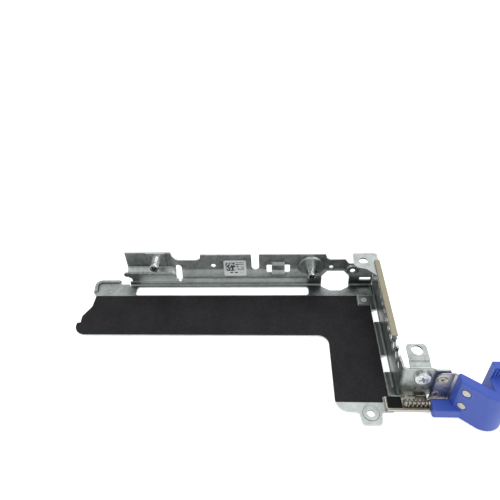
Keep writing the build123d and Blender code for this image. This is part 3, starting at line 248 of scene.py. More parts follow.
def polyester_film(colours):
    """Black polyester insulating film with a matt, leathered face."""
    # Calendered film: near-black, weak gloss, dusty handling patches and a fine pebble,
    # drawn 0.9 mm wide so that it shows
    pebble = 0.9
    pebble_depth = 0.03
    patch = 16.0
    material, tree, shader = start_material("polyester_film", Roughness=0.6, IOR=1.5)
    shader.inputs["Specular IOR Level"].default_value = 0.22
    points = object_points(tree)
    dust = add_node(
        tree,
        "ShaderNodeTexNoise",
        inputs={"Scale": 1 / patch, "Detail": 6.0, "Roughness": 0.65},
        links={"Vector": points},
    )
    grain = add_node(
        tree,
        "ShaderNodeTexNoise",
        inputs={"Scale": 1 / pebble, "Detail": 2.0},
        links={"Vector": points},
    )
    mottle = add_node(
        tree,
        "ShaderNodeMath",
        operation="MULTIPLY",
        links={0: dust.outputs["Fac"], 1: grain.outputs["Fac"]},
    )
    mottle_depth = add_node(
        tree,
        "ShaderNodeMapRange",
        inputs={"From Min": 0.16, "From Max": 0.36},
        links={"Value": mottle.outputs[0]},
    )
    dusty = add_node(
        tree,
        "ShaderNodeMix",
        data_type="RGBA",
        inputs={MIX_LOW: colours.film, MIX_HIGH: colours.film_dust},
        links={MIX_FACTOR: mottle_depth.outputs["Result"]},
    )
    tree.links.new(dusty.outputs[MIX_RESULT], shader.inputs["Base Color"])
    relief = add_node(
        tree,
        "ShaderNodeBump",
        inputs={"Strength": 0.5, "Distance": pebble_depth * MM},
        links={"Height": grain.outputs["Fac"]},
    )
    tree.links.new(relief.outputs["Normal"], shader.inputs["Normal"])
    return material


def conductive_cloth(colours, thread_pitch):
    """Silver-coated woven cloth wrapped over foam."""
    # Plain weave of plated threads: tan-grey with pale thread tops, slightly metallic.
    # The real threads are about 0.15 mm apart, drawn coarser so that they show.
    # A wave pattern of scale 1 has about 3.2 bands to the millimetre
    bands = 3.2
    stain = 5.0
    thread_depth = 0.05
    material, tree, shader = start_material("conductive_cloth", Roughness=0.7, Metallic=0.15)
    points = object_points(tree)
    threads = []
    for direction in ("X", "Y"):
        band = add_node(
            tree,
            "ShaderNodeTexWave",
            bands_direction=direction,
            inputs={"Scale": MM / thread_pitch / bands, "Distortion": 0.6, "Detail": 1.0},
            links={"Vector": points},
        )
        threads.append(band.outputs["Fac"])
    weave = add_node(
        tree, "ShaderNodeMath", operation="MAXIMUM", links={0: threads[0], 1: threads[1]}
    )
    soil = add_node(
        tree,
        "ShaderNodeTexNoise",
        inputs={"Scale": 1 / stain, "Detail": 4.0},
        links={"Vector": points},
    )
    soiled = add_node(
        tree,
        "ShaderNodeMix",
        data_type="RGBA",
        inputs={MIX_LOW: colours.cloth, MIX_HIGH: colours.cloth_light},
        links={MIX_FACTOR: soil.outputs["Fac"]},
    )
    thread_top = add_node(
        tree, "ShaderNodeMapRange", inputs={"To Max": 0.5}, links={"Value": weave.outputs[0]}
    )
    threaded = add_node(
        tree,
        "ShaderNodeMix",
        data_type="RGBA",
        inputs={MIX_HIGH: colours.thread},
        links={MIX_FACTOR: thread_top.outputs["Result"], MIX_LOW: soiled.outputs[MIX_RESULT]},
    )
    tree.links.new(threaded.outputs[MIX_RESULT], shader.inputs["Base Color"])
    relief = add_node(
        tree,
        "ShaderNodeBump",
        inputs={"Strength": 0.5, "Distance": thread_depth * MM},
        links={"Height": weave.outputs[0]},
    )
    tree.links.new(relief.outputs["Normal"], shader.inputs["Normal"])
    return material


def label_stock(colours, cell):
    """Matt white label stock with a patch of random cells and plain bars."""
    # Thermal print on paper: charcoal cells at the left and broken bars at the right,
    # random by design so that they say nothing, and coarse enough to show
    low, high = (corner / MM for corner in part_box("label"))
    size = high - low
    cell_mm = cell / MM
    # Each cell runs right through the label
    deep = 100.0
    code_cell = (cell_mm, deep, cell_mm)
    code_share = 0.62
    bar_cell = (1.3 * cell_mm, deep, 3.2 * cell_mm)
    bar_share = 0.7
    foot_cell = (1.7 * cell_mm, deep, deep)
    foot_share = 0.75
    row_pitch = 1.6 * cell_mm
    row_width = 0.8 * cell_mm
    smudge = 3.0
    code_half = Vector((0.22 * size.x, 0, 0.29 * size.z))
    code_middle = Vector((low.x + 0.3 * size.x, 0, low.z + 0.57 * size.z))
    bars_half = Vector((0.17 * size.x, 0, 0.3 * size.z))
    bars_middle = Vector((low.x + 0.71 * size.x, 0, low.z + 0.57 * size.z))
    foot_half = Vector((0.25 * size.x, 0, 0.035 * size.z))
    foot_middle = Vector((low.x + 0.52 * size.x, 0, low.z + 0.19 * size.z))
    material, tree, shader = start_material("label_stock", Roughness=0.7)
    points = object_points(tree)
    place = add_node(tree, "ShaderNodeSeparateXYZ", links={"Vector": points})

    def inside(middle, half):
        """Socket that is 1 inside an upright rectangle of the label and 0 outside it."""
        across = add_node(
            tree,
            "ShaderNodeMath",
            operation="COMPARE",
            inputs={1: middle.x, 2: half.x},
            links={0: place.outputs["X"]},
        )
        up = add_node(
            tree,
            "ShaderNodeMath",
            operation="COMPARE",
            inputs={1: middle.z, 2: half.z},
            links={0: place.outputs["Z"]},
        )
        both = add_node(
            tree,
            "ShaderNodeMath",
            operation="MULTIPLY",
            links={0: across.outputs[0], 1: up.outputs[0]},
        )
        return both.outputs[0]

    def speckle(steps, share):
        """Socket that is 1 on a random share of cells, each steps millimetres in size."""
        snapped = add_node(
            tree,
            "ShaderNodeVectorMath",
            operation="SNAP",
            inputs={1: steps},
            links={0: points},
        )
        dice = add_node(
            tree,
            "ShaderNodeTexWhiteNoise",
            noise_dimensions="3D",
            links={"Vector": snapped.outputs["Vector"]},
        )
        drawn = add_node(
            tree,
            "ShaderNodeMath",
            operation="LESS_THAN",
            inputs={1: share},
            links={0: dice.outputs["Value"]},
        )
        return drawn.outputs[0]

    rows = add_node(
        tree,
        "ShaderNodeMath",
        operation="PINGPONG",
        inputs={1: row_pitch},
        links={0: place.outputs["Z"]},
    )
    row_ink = add_node(
        tree,
        "ShaderNodeMath",
        operation="LESS_THAN",
        inputs={1: row_width},
        links={0: rows.outputs[0]},
    )
    printed = []
    for ink_places, fields in [
        (speckle(code_cell, code_share), [inside(code_middle, code_half)]),
        (speckle(bar_cell, bar_share), [inside(bars_middle, bars_half), row_ink.outputs[0]]),
        (speckle(foot_cell, foot_share), [inside(foot_middle, foot_half)]),
    ]:
        ink_socket = ink_places
        for field in fields:
            product = add_node(
                tree, "ShaderNodeMath", operation="MULTIPLY", links={0: ink_socket, 1: field}
            )
            ink_socket = product.outputs[0]
        printed.append(ink_socket)
    print_sum = add_node(
        tree, "ShaderNodeMath", operation="MAXIMUM", links={0: printed[0], 1: printed[1]}
    )
    print_all = add_node(
        tree, "ShaderNodeMath", operation="MAXIMUM", links={0: print_sum.outputs[0], 1: printed[2]}
    )
    density = add_node(
        tree, "ShaderNodeMapRange", inputs={"To Max": 0.95}, links={"Value": print_all.outputs[0]}
    )
    marks = add_node(
        tree,
        "ShaderNodeTexNoise",
        inputs={"Scale": 1 / smudge, "Detail": 3.0},
        links={"Vector": points},
    )
    stock = add_node(
        tree,
        "ShaderNodeMix",
        data_type="RGBA",
        inputs={MIX_LOW: colours.paper_shade, MIX_HIGH: colours.paper},
        links={MIX_FACTOR: marks.outputs["Fac"]},
    )
    inked = add_node(
        tree,
        "ShaderNodeMix",
        data_type="RGBA",
        inputs={MIX_HIGH: colours.ink},
        links={MIX_FACTOR: density.outputs["Result"], MIX_LOW: stock.outputs[MIX_RESULT]},
    )
    tree.links.new(inked.outputs[MIX_RESULT], shader.inputs["Base Color"])
    return material


def mottled_metal(name, low, high, patch, gloss, relief_depth, stretch=(1, 1, 1), edge_shade=None):
    """Metal whose colour, gloss and relief follow one noise, with a colour of painted shade along
    the edges.
    """
    edge_reach = 0.5
    material, tree, shader = start_material(name, Metallic=1.0)
    patches = add_node(
        tree,
        "ShaderNodeTexNoise",
        inputs={"Scale": 1 / patch, "Detail": 3.0},
        links={"Vector": object_points(tree, stretch)},
    )
    spread = add_node(
        tree,
        "ShaderNodeMapRange",
        inputs={"From Min": 0.3, "From Max": 0.7},
        links={"Value": patches.outputs["Fac"]},
    )
    tone = add_node(
        tree,
        "ShaderNodeMix",
        data_type="RGBA",
        inputs={MIX_LOW: low, MIX_HIGH: high},
        links={MIX_FACTOR: spread.outputs["Result"]},
    )
    finish = tone
    # Painted shade: the edges are darkened towards the given edge colour
    if edge_shade is not None:
        edges = add_node(
            tree,
            "ShaderNodeAmbientOcclusion",
            inside=True,
            only_local=True,
            samples=8,
            inputs={"Distance": edge_reach * MM},
        )
        edge_shade_mask = add_node(
            tree,
            "ShaderNodeMapRange",
            inputs={"From Min": 0.9, "From Max": 0.6},
            links={"Value": edges.outputs["AO"]},
        )
        finish = add_node(
            tree,
            "ShaderNodeMix",
            data_type="RGBA",
            inputs={MIX_HIGH: edge_shade},
            links={MIX_FACTOR: edge_shade_mask.outputs["Result"], MIX_LOW: tone.outputs[MIX_RESULT]},
        )
    tree.links.new(finish.outputs[MIX_RESULT], shader.inputs["Base Color"])
    roughness = add_node(
        tree,
        "ShaderNodeMapRange",
        inputs={"To Min": gloss[0], "To Max": gloss[1]},
        links={"Value": spread.outputs["Result"]},
    )
    tree.links.new(roughness.outputs["Result"], shader.inputs["Roughness"])
    relief = add_node(
        tree,
        "ShaderNodeBump",
        inputs={"Strength": 0.5, "Distance": relief_depth * MM},
        links={"Height": patches.outputs["Fac"]},
    )
    tree.links.new(relief.outputs["Normal"], shader.inputs["Normal"])
    return material


def bright_zinc_plate(colours):
    """Zinc plated turned steel hardware."""
    # Bright chromate zinc: bluish white, glossy, with small dull burnished patches
    return mottled_metal(
        "bright_zinc_plate",
        colours.zinc_dark,
        colours.zinc,
        patch=0.9,
        gloss=(0.14, 0.36),
        relief_depth=0.03,
    )


def rolled_stainless(colours):
    """Cold-rolled stainless spring sheet."""
    # Mill finish: warm grey, fairly glossy, with fine lines along the roll direction, and the edges
    # darkened with painted shade
    return mottled_metal(
        "rolled_stainless",
        colours.stainless_dark,
        colours.stainless,
        patch=1.0,
        gloss=(0.24, 0.38),
        relief_depth=0.003,
        stretch=(0.3, 8.0, 8.0),
        edge_shade=colours.stainless_edge_shade,
    )


def drawn_spring_wire(colours):
    """Drawn spring steel wire and pin."""
    # Cold drawn under oil: bright with darker streaks
    return mottled_metal(
        "drawn_spring_wire",
        colours.wire_dark,
        colours.wire,
        patch=0.8,
        gloss=(0.2, 0.4),
        relief_depth=0.01,
    )


def nickel_rivet_plate(colours):
    """Nickel plated tubular rivet."""
    # Dull nickel: pale, slightly warm, satin
    return mottled_metal(
        "nickel_rivet_plate",
        colours.rivet_dark,
        colours.rivet,
        patch=1.2,
        gloss=(0.36, 0.5),
        relief_depth=0.01,
    )


def moulded_blue_plastic(colours):
    """Injection-moulded touch part in strong mid blue."""
    # PC and ABS blend from a spark-eroded mould: satin, with an even grain drawn 0.35 mm wide so
    # that it shows, a painted highlight that lightens the corners, and a little light carried inside
    grain = 0.35
    grain_depth = 0.015
    cloud = 14.0
    highlight_reach = 0.9
    material, tree, shader = start_material("moulded_blue_plastic", Roughness=0.44, IOR=1.55)
    shader.inputs["Subsurface Weight"].default_value = 0.08
    shader.inputs["Subsurface Radius"].default_value = (1.0 * MM, 1.0 * MM, 2.0 * MM)
    points = object_points(tree)
    flow = add_node(
        tree,
        "ShaderNodeTexNoise",
        inputs={"Scale": 1 / cloud, "Detail": 4.0},
        links={"Vector": points},
    )
    base = add_node(
        tree,
        "ShaderNodeMix",
        data_type="RGBA",
        inputs={MIX_LOW: colours.blue, MIX_HIGH: colours.blue_light},
        links={MIX_FACTOR: flow.outputs["Fac"]},
    )
    # Painted highlight: the corners are lightened towards the edge colour
    corners = add_node(
        tree,
        "ShaderNodeAmbientOcclusion",
        inside=True,
        only_local=True,
        samples=8,
        inputs={"Distance": highlight_reach * MM},
    )
    highlight_mask = add_node(
        tree,
        "ShaderNodeMapRange",
        inputs={"From Min": 0.9, "From Max": 0.5, "To Max": 0.5},
        links={"Value": corners.outputs["AO"]},
    )
    highlighted = add_node(
        tree,
        "ShaderNodeMix",
        data_type="RGBA",
        inputs={MIX_HIGH: colours.blue_edge_highlight},
        links={MIX_FACTOR: highlight_mask.outputs["Result"], MIX_LOW: base.outputs[MIX_RESULT]},
    )
    tree.links.new(highlighted.outputs[MIX_RESULT], shader.inputs["Base Color"])
    sparks = add_node(
        tree,
        "ShaderNodeTexNoise",
        inputs={"Scale": 1 / grain, "Detail": 2.0},
        links={"Vector": points},
    )
    relief = add_node(
        tree,
        "ShaderNodeBump",
        inputs={"Strength": 0.5, "Distance": grain_depth * MM},
        links={"Height": sparks.outputs["Fac"]},
    )
    tree.links.new(relief.outputs["Normal"], shader.inputs["Normal"])
    return material


def closed_cell_foam(colours):
    """Black closed-cell foam pad with an adhesive back."""
    # Cross-linked foam: almost black, very dull, with fine open pores on its cut face
    pore = 0.4
    pore_depth = 0.04
    material, tree, shader = start_material("closed_cell_foam", Roughness=0.85)
    shader.inputs["Specular IOR Level"].default_value = 0.25
    pores = add_node(
        tree,
        "ShaderNodeTexNoise",
        inputs={"Scale": 1 / pore, "Detail": 3.0},
        links={"Vector": object_points(tree)},
    )
    tone = add_node(
        tree,
        "ShaderNodeMix",
        data_type="RGBA",
        inputs={MIX_LOW: colours.foam, MIX_HIGH: colours.foam_light},
        links={MIX_FACTOR: pores.outputs["Fac"]},
    )
    tree.links.new(tone.outputs[MIX_RESULT], shader.inputs["Base Color"])
    relief = add_node(
        tree,
        "ShaderNodeBump",
        inputs={"Strength": 0.7, "Distance": pore_depth * MM},
        links={"Height": pores.outputs["Fac"]},
    )
    tree.links.new(relief.outputs["Normal"], shader.inputs["Normal"])
    return material


def dress(material, *names):
    """Give CAD nodes a material in place of their packed one."""
    for name in names:
        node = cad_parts[name]
        if not node.data.materials:
            node.data.materials.append(material)
        for index in range(len(node.material_slots)):
            node.material_slots[index].material = material


def merged_copy(node):
    """Bmesh of a CAD node with its loose triangles joined up."""
    joined_within = 0.002 * MM
    form = bmesh.new()
    form.from_mesh(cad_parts[node].data)
    bmesh.ops.remove_doubles(form, verts=form.verts, dist=joined_within)
    return form


def lower_edge(form, height, drop, depths=(-math.inf, math.inf)):
    """Lower the vertices at one height, between two distances from the near side."""
    for vert in form.verts:
        if abs(vert.co.z - height) < SAME_HEIGHT and depths[0] < vert.co.y < depths[1]:
            vert.co.z -= drop


def stand_in(name, node, body, form, material):
    """Piece that stands for a CAD node, smooth round its bends and sharp at its edges."""
    crease = math.radians(30)
    mesh = bpy.data.meshes.new(name)
    for face in form.faces:
        face.smooth = True
    form.to_mesh(mesh)
    form.free()
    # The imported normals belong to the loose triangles
    mesh.attributes.remove(mesh.attributes["custom_normal"])
    mesh.set_sharp_from_angle(angle=crease)
    mesh.materials.append(material)
    piece = bpy.data.objects.new(name, mesh)
    bpy.context.collection.objects.link(piece)
    flat_faces = piece.modifiers.new("flat_faces", "WEIGHTED_NORMAL")
    flat_faces.keep_sharp = True
    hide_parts(node)
    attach(piece, body)


def fitted_end_wall(trim, reach_low, reach_high, plate_reach):
    """End wall with a trimmed flange, a far edge that closes the corner and a wider plate."""
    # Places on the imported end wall, and how near a vertex has to be to its far edge
    flange_low = 25.9 * MM
    flange_inner = 11.05 * MM
    taper_start = 81.0 * MM
    taper = 8.0 * MM
    wall_inner = 11.5 * MM
    far_edge = 94.4 * MM
    edge_margin = 0.05 * MM
    joggle_low = 7.6 * MM
    joggle_high = 14.2 * MM
    plate_edge = 30.6 * MM
    ear_low = 19.0 * MM
    form = merged_copy("end_wall")
    for height in (joggle_low, joggle_high):
        bmesh.ops.bisect_plane(
            form,
            geom=form.verts[:] + form.edges[:] + form.faces[:],
            plane_co=(0, 0, height),
            plane_no=(0, 0, 1),
        )
    for vert in form.verts:
        x, y, z = vert.co
        if z > flange_low and x < flange_inner:
            vert.co.x += trim * min(1.0, max(0.0, (taper_start - y) / taper))
        if abs(y - far_edge) < edge_margin and x > wall_inner:
            vert.co.y += reach_high if z > joggle_high - SAME_HEIGHT else reach_low
        if x > plate_edge and z < ear_low:
            vert.co.x += plate_reach
    # Toe of the wall, which carries its foot on to the back bend
    toe_low = Vector((12.9, 84.2, 1.02)) * MM
    toe_high = Vector((15.2, 93.9, 2.0)) * MM
    toe = bmesh.ops.create_cube(form, size=1.0)["verts"]
    bmesh.ops.scale(form, vec=toe_high - toe_low, verts=toe)
    bmesh.ops.translate(form, vec=(toe_high + toe_low) / 2, verts=toe)
    return form


def foam_bar(name, node, material, edge, crown, ripple, spacing):
    """Padded bar in a CAD node's box: rounded above, crowned across, rippled along."""
    wave_length = 9 * MM
    low, high = (Vector(corner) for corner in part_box(node))
    middle = (low + high) / 2
    size = high - low
    long_axis = 0 if size.x > size.y else 1
    wide_axis = 1 - long_axis
    form = bmesh.new()
    bmesh.ops.create_cube(form, size=1.0)
    bmesh.ops.scale(form, vec=size, verts=form.verts)
    bmesh.ops.translate(form, vec=middle, verts=form.verts)
    upper = [part for part in form.edges if max(vert.co.z for vert in part.verts) > middle.z]
    bmesh.ops.bevel(
        form,
        geom=upper,
        offset=edge,
        offset_type="OFFSET",
        affect="EDGES",
        segments=4,
        profile=0.5,
        material=-1,
    )
    for axis in (long_axis, wide_axis):
        direction = Vector((1, 0, 0)) if axis == 0 else Vector((0, 1, 0))
        count = max(3, round((size[axis] - 2 * edge) / spacing))
        for step in range(1, count):
            reach = low[axis] + edge + (size[axis] - 2 * edge) * step / count
            cut = middle.copy()
            cut[axis] = reach
            bmesh.ops.bisect_plane(
                form,
                geom=form.verts[:] + form.edges[:] + form.faces[:],
                plane_co=cut,
                plane_no=direction,
            )
    for vert in form.verts:
        height = (vert.co.z - low.z) / size.z
        across = (vert.co[wide_axis] - middle[wide_axis]) / (size[wide_axis] / 2)
        along = (vert.co[long_axis] - middle[long_axis]) / (size[long_axis] / 2)
        wave = noise.noise(vert.co / wave_length) * ripple
        vert.co.z -= height * (crown * (across**2 + along**6) / 2 + abs(wave))
        vert.co[wide_axis] += height * (wave - math.copysign(abs(wave), across))
    bmesh.ops.recalc_face_normals(form, faces=form.faces)
    for face in form.faces:
        face.smooth = True
    mesh = bpy.data.meshes.new(name)
    form.to_mesh(mesh)
    form.free()
    mesh.materials.append(material)
    piece = bpy.data.objects.new(name, mesh)
    bpy.context.collection.objects.link(piece)
    smoothing = piece.modifiers.new("smoothing", "SUBSURF")
    smoothing.levels = 1
    smoothing.render_levels = 1
    return piece


class RiserColours(bpy.types.PropertyGroup):
    """Colours of the riser's finishes."""

    steel_dark: colour_choice("Steel, oily patch", "Darkest zinc grey of the sheet", "8c9391")
    steel: colour_choice("Steel", "Common zinc grey of the sheet", "b0b7b4")
    steel_light: colour_choice("Steel, crystal", "Palest zinc crystals", "d0d6d3")
    # Painted highlight of the sheet's folds and cut edges
    steel_edge_highlight: colour_choice("Steel, edge", "Painted highlight on the folds and cut edges", "d4dad8")
    # Painted shade of the sheet's inner corners
    steel_corner_shade: colour_choice("Steel, corner", "Painted shade in the inner corners", "4a4f4e")
    film: colour_choice("Film", "Insulating film", "151417")
    film_dust: colour_choice("Film, dust", "Dusty patches on the film", "242226")
    cloth: colour_choice("Gasket cloth", "Soiled parts of the cloth", "958e79")
    cloth_light: colour_choice("Gasket cloth, clean", "Clean parts of the cloth", "a39c87")
    thread: colour_choice("Gasket thread", "Tops of the threads", "b1ab98")
    paper: colour_choice("Label", "Label stock", "dfe1e2")
    paper_shade: colour_choice("Label, mark", "Handling marks on the label", "cacdcf")
    ink: colour_choice("Label ink", "Print on the label", "26282b")
    zinc: colour_choice("Zinc plate", "Bright hardware", "e4e6e5")
    zinc_dark: colour_choice("Zinc plate, dull", "Burnished patches of hardware", "a4a9aa")
    stainless: colour_choice("Stainless", "Latch sheet", "cdc9c1")
    stainless_dark: colour_choice("Stainless, line", "Rolling lines of the latch sheet", "aea99f")
    # Painted shade along the latch sheet's edges
    stainless_edge_shade: colour_choice("Stainless, edge", "Painted shade along the edges of the latch sheet", "6f6b64")
    wire: colour_choice("Spring wire", "Bright drawn wire", "b9b3a8")
    wire_dark: colour_choice("Spring wire, streak", "Oily streaks on the wire", "7d766b")
    rivet: colour_choice("Rivet", "Nickel plated rivets", "c9c6b8")
    rivet_dark: colour_choice("Rivet, shade", "Duller nickel", "aaa797")
    blue: colour_choice("Blue", "Moulded handle", "3754b4")
    blue_light: colour_choice("Blue, light", "Paler flow marks", "4260c2")
    # Painted highlight of the handle's corners
    blue_edge_highlight: colour_choice("Blue, edge", "Painted highlight on the handle's corners", "5f80d2")
    foam: colour_choice("Pad foam", "Corner pad", "0b0b0c")
    foam_light: colour_choice("Pad foam, pores", "Pore edges of the pad", "19191a")


class RiserSizes(bpy.types.PropertyGroup):
    """Sizes of the foam pieces, the fitted sheets, the handle and the fine patterns."""

    gasket_edge: length_choice("Gasket edge", "Radius of the gasket's upper edges", 0.6)
    gasket_crown: length_choice("Gasket crown", "Fall from the gasket's middle to its sides", 0.25)
    gasket_ripple: length_choice("Gasket ripple", "Waviness of the gasket along its length", 0.12)
    pad_edge: length_choice("Pad edge", "Radius of the pad's upper edges", 0.45)
    pad_crown: length_choice("Pad crown", "Fall from the pad's middle to its sides", 0.15)
    flange_trim: length_choice("Flange trim", "How much narrower the top flange is", 1.4)
    corner_reach_low: length_choice("Lower reach", "How far the wall runs on below the joggle", 1.6)
    corner_reach_high: length_choice("Upper reach", "How far the wall runs on above the joggle", 2.8)
    plate_reach: length_choice("Plate reach", "How far the ledge plate runs on to the leaf", 1.1)
    leaf_drop: length_choice("Leaf drop", "How far the latch leaf reaches down", 1.2)
    tongue_drop: length_choice("Tongue drop", "How far the handle's tongue stops short", 2.1)
    thread_pitch: length_choice("Thread pitch", "Distance between threads of the cloth", 0.35)
    print_cell: length_choice("Print cell", "Width of one printed cell", 0.62)


class RiserStage(bpy.types.PropertyGroup):
    """Where the photographer stood and how the stage is lit."""

    camera_place: bpy.props.FloatVectorProperty(
        name="Camera place",
        description="Camera position in the riser's frame",
        size=3,
        subtype="XYZ",
        unit="LENGTH",
        default=(-47.2 * MM, -134.6 * MM, 229.0 * MM),
    )
    pitch: bpy.props.FloatProperty(
        name="Pitch",
        description="How far the camera looks down",
        subtype="ANGLE",
        default=math.radians(40.52),
    )
    heading: bpy.props.FloatProperty(
        name="Heading",
        description="Turn about the vertical",
        subtype="ANGLE",
        default=math.radians(4.62),
    )
    roll: bpy.props.FloatProperty(
        name="Roll",
        description="Turn about the view line",
        subtype="ANGLE",
        default=math.radians(-3.41),
    )
    lens: bpy.props.FloatProperty(
        name="Lens", description="Focal length in mm on a 36 mm sensor", default=34.2, min=10.0
    )
    floor_size: bpy.props.FloatProperty(
        name="Floor size", description="Width of the pale floor", unit="LENGTH", default=4.0
    )
    floor_colour: colour_choice("Floor", "Pale floor", "f2f2f2")
    floor_glow: bpy.props.FloatProperty(
        name="Floor glow",
        description="Strength at which the floor lifts to white where it is seen",
        default=0.55,
        min=0.0,
    )
    world_strength: bpy.props.FloatProperty(
        name="World", description="Strength of the even light", default=0.58, min=0.0
    )
    rear_power: bpy.props.FloatProperty(
        name="Rear softbox", description="Power of the lamp behind", unit="POWER", default=3.0
    )
    key_power: bpy.props.FloatProperty(
        name="Key lamp", description="Power of the lamp at the left", unit="POWER", default=1.2
    )
    fill_power: bpy.props.FloatProperty(
        name="Fill lamp", description="Power of the lamp at the right", unit="POWER", default=2.1
    )


class RISER_OT_stage(bpy.types.Operator):
    """Pale floor, soft lamps, even world and the photograph's camera"""

    bl_idname = "riser.stage"
    bl_label = "Stage"

    def execute(self, context):
        settings = context.scene.riser_stage
        scene = context.scene
        scene.view_settings.view_transform = "Standard"
        self.floor(settings)
        self.lamps(settings)
        self.world(scene, settings)
        self.camera(scene, settings)
        return {"FINISHED"}

    def floor(self, settings):
        """Pale board just under the riser."""
        gap = 0.1 * MM
        mesh = bpy.data.meshes.new("floor")
        form = bmesh.new()
        bmesh.ops.create_grid(form, x_segments=1, y_segments=1, size=settings.floor_size / 2)
        form.to_mesh(mesh)
        form.free()
        plane = bpy.data.objects.new("floor", mesh)
        plane.location.z = -gap
        bpy.context.collection.objects.link(plane)
        # Painted board: dull white, lifted to white where the camera, a gloss or a clear
        # part sees it
        material, tree, shader = start_material("painted_board", Roughness=0.9)
        shader.inputs["Base Color"].default_value = settings.floor_colour
        shader.inputs["Emission Color"].default_value = linear("ffffff")
        rays = add_node(tree, "ShaderNodeLightPath")
        seen = rays.outputs["Is Camera Ray"]
        for ray in ("Is Glossy Ray", "Is Transmission Ray"):
            either = add_node(
                tree, "ShaderNodeMath", operation="MAXIMUM", links={0: seen, 1: rays.outputs[ray]}
            )
            seen = either.outputs[0]
        glow = add_node(
            tree,
            "ShaderNodeMapRange",
            inputs={"To Max": settings.floor_glow},
            links={"Value": seen},
        )
        tree.links.new(glow.outputs["Result"], shader.inputs["Emission Strength"])
        mesh.materials.append(material)

    def lamps(self, settings):
        """Soft lamps behind, at the left and at the right."""
        for name, place, size, power in [
            ("rear_softbox", (0.05, 0.6, 0.9), 1.0, settings.rear_power),
            ("key_lamp", (-0.35, -0.15, 0.75), 0.6, settings.key_power),
            ("fill_lamp", (0.45, -0.5, 0.6), 0.6, settings.fill_power),
        ]:
            lamp = bpy.data.lights.new(name, "AREA")
            lamp.size = size
            lamp.energy = power
            lamp_object = bpy.data.objects.new(name, lamp)
            lamp_object.location = place
            lamp_object.rotation_euler = (-Vector(place)).to_track_quat("-Z", "Y").to_euler()
            bpy.context.collection.objects.link(lamp_object)

    def world(self, scene, settings):
        """Even light, which the camera sees as white."""
        world = bpy.data.worlds.new("studio")
        world.use_nodes = True
        tree = world.node_tree
        shader = tree.nodes["Background"]
        shader.inputs["Color"].default_value = linear("ffffff")
        rays = add_node(tree, "ShaderNodeLightPath")
        strength = add_node(
            tree,
            "ShaderNodeMapRange",
            inputs={"To Min": settings.world_strength},
            links={"Value": rays.outputs["Is Camera Ray"]},
        )
        tree.links.new(strength.outputs["Result"], shader.inputs["Strength"])
        scene.world = world

    def camera(self, scene, settings):
        """Camera at the place and angle of the settings."""
        camera = bpy.data.cameras.new("camera")
        camera.sensor_width = 36
        camera.lens = settings.lens
        camera.clip_start = 10 * MM
        camera_object = bpy.data.objects.new("camera", camera)
        turn = (
            Matrix.Rotation(settings.heading, 4, "Z")
            @ Matrix.Rotation(math.pi / 2 - settings.pitch, 4, "X")
            @ Matrix.Rotation(settings.roll, 4, "Z")
        )
        camera_object.matrix_world = Matrix.Translation(settings.camera_place) @ turn
        bpy.context.collection.objects.link(camera_object)
        scene.camera = camera_object


class RISER_OT_sheet_metal(bpy.types.Operator):
    """Galvanised tray and end wall, with rolling lines along each sheet"""

    bl_idname = "riser.sheet_metal"
    bl_label = "Sheet metal"

    def execute(self, context):
        colours = context.scene.riser_colours
        sizes = context.scene.riser_sizes
        lines_along_x = (0.12, 5.0, 5.0)
        lines_along_y = (5.0, 0.12, 5.0)
        tray_sheet = galvanised_sheet("galvanised_tray_sheet", colours, lines_along_x)
        dress(tray_sheet, "tray", "foot_rivet", "base_rivet")
        wall = fitted_end_wall(
            sizes.flange_trim, sizes.corner_reach_low, sizes.corner_reach_high, sizes.plate_reach
        )
        end_sheet = galvanised_sheet("galvanised_end_sheet", colours, lines_along_y)
        stand_in("end_wall_sheet", "end_wall", "cage", wall, end_sheet)
        return {"FINISHED"}


class RISER_OT_film(bpy.types.Operator):
    """Insulating film on the tray's floor"""

    bl_idname = "riser.film"
    bl_label = "Insulating film"

    def execute(self, context):
        dress(polyester_film(context.scene.riser_colours), "insulator_film")
        return {"FINISHED"}


class RISER_OT_label(bpy.types.Operator):
    """Generic printed label on the back wall"""

    bl_idname = "riser.label"
    bl_label = "Label"

    def execute(self, context):
        scene = context.scene
        dress(label_stock(scene.riser_colours, scene.riser_sizes.print_cell), "label")
        return {"FINISHED"}


class RISER_OT_gasket(bpy.types.Operator):
    """Cloth-wrapped foam strip on the end wall's flange"""

    bl_idname = "riser.gasket"
    bl_label = "Gasket"

    def execute(self, context):
        scene = context.scene
        sizes = scene.riser_sizes
        gasket = foam_bar(
            "gasket_strip",
            "emi_gasket",
            conductive_cloth(scene.riser_colours, sizes.thread_pitch),
            edge=sizes.gasket_edge,
            crown=sizes.gasket_crown,
            ripple=sizes.gasket_ripple,
            spacing=1.0 * MM,
        )
        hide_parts("emi_gasket")
        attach(gasket, "cage")
        return {"FINISHED"}


class RISER_OT_pad(bpy.types.Operator):
    """Foam pad on the corner of the latch base"""

    bl_idname = "riser.pad"
    bl_label = "Corner pad"

    def execute(self, context):
        scene = context.scene
        sizes = scene.riser_sizes
        pad = foam_bar(
            "corner_foam",
            "corner_pad",
            closed_cell_foam(scene.riser_colours),
            edge=sizes.pad_edge,
            crown=sizes.pad_crown,
            ripple=0.0,
            spacing=0.8 * MM,
        )
        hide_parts("corner_pad")
        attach(pad, "cage")
        return {"FINISHED"}


class RISER_OT_hardware(bpy.types.Operator):
    """Standoffs, screw, rivets, hinge pin and spring"""

    bl_idname = "riser.hardware"
    bl_label = "Hardware"

    def execute(self, context):
        colours = context.scene.riser_colours
        dress(bright_zinc_plate(colours), "standoff_left", "standoff_right", "ledge_screw")
        dress(drawn_spring_wire(colours), "hinge_pin", "torsion_spring")
        dress(
            nickel_rivet_plate(colours),
            "leaf_rivet_upper",
            "leaf_rivet_lower",
            "handle_rivet_upper",
            "handle_rivet_lower",
        )
        return {"FINISHED"}


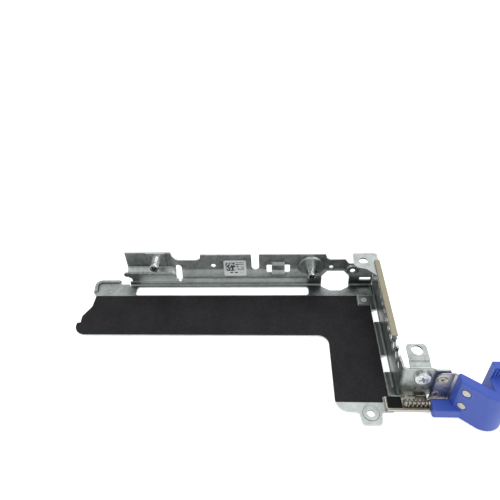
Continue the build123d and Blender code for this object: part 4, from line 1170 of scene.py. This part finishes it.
class RISER_OT_latch(bpy.types.Operator):
    """Stainless base and leaf, and the blue handle"""

    bl_idname = "riser.latch"
    bl_label = "Latch"

    def execute(self, context):
        colours = context.scene.riser_colours
        sizes = context.scene.riser_sizes
        stainless = rolled_stainless(colours)
        dress(stainless, "latch_base")
        leaf_bottom = 4.6 * MM
        leaf = merged_copy("latch_leaf")
        lower_edge(leaf, leaf_bottom, sizes.leaf_drop)
        stand_in("leaf_sheet", "latch_leaf", "latch", leaf, stainless)
        # The tongue behind the leaf stops lower, so that the leaf hides it
        tongue_top = 24.0 * MM
        tongue_depths = (8.1 * MM, 9.7 * MM)
        handle = merged_copy("latch_handle")
        lower_edge(handle, tongue_top, sizes.tongue_drop, tongue_depths)
        blue_plastic = moulded_blue_plastic(colours)
        stand_in("handle_moulding", "latch_handle", "latch", handle, blue_plastic)
        return {"FINISHED"}


class RISER_PT_panel(bpy.types.Panel):
    """Sidebar panel that lists the riser's pieces, sizes and colours"""

    bl_idname = "RISER_PT_panel"
    bl_label = "Server riser cage"
    bl_space_type = "VIEW_3D"
    bl_region_type = "UI"
    bl_category = "Riser"

    def draw(self, context):
        for operator in OPERATORS:
            self.layout.operator(operator.bl_idname)
        for settings in (
            context.scene.riser_stage,
            context.scene.riser_sizes,
            context.scene.riser_colours,
        ):
            box = self.layout.box()
            for name in type(settings).__annotations__:
                box.prop(settings, name)


OPERATORS = (
    RISER_OT_stage,
    RISER_OT_sheet_metal,
    RISER_OT_film,
    RISER_OT_label,
    RISER_OT_gasket,
    RISER_OT_pad,
    RISER_OT_hardware,
    RISER_OT_latch,
)
CLASSES = (RiserColours, RiserSizes, RiserStage, *OPERATORS, RISER_PT_panel)


def register():
    for entry in CLASSES:
        bpy.utils.register_class(entry)
    bpy.types.Scene.riser_colours = bpy.props.PointerProperty(type=RiserColours)
    bpy.types.Scene.riser_sizes = bpy.props.PointerProperty(type=RiserSizes)
    bpy.types.Scene.riser_stage = bpy.props.PointerProperty(type=RiserStage)


def unregister():
    del bpy.types.Scene.riser_stage
    del bpy.types.Scene.riser_sizes
    del bpy.types.Scene.riser_colours
    for entry in reversed(CLASSES):
        bpy.utils.unregister_class(entry)


def main():
    register()
    for operator in OPERATORS:
        group, name = operator.bl_idname.split(".")
        getattr(getattr(bpy.ops, group), name)()


if __name__ == "__main__":
    main()
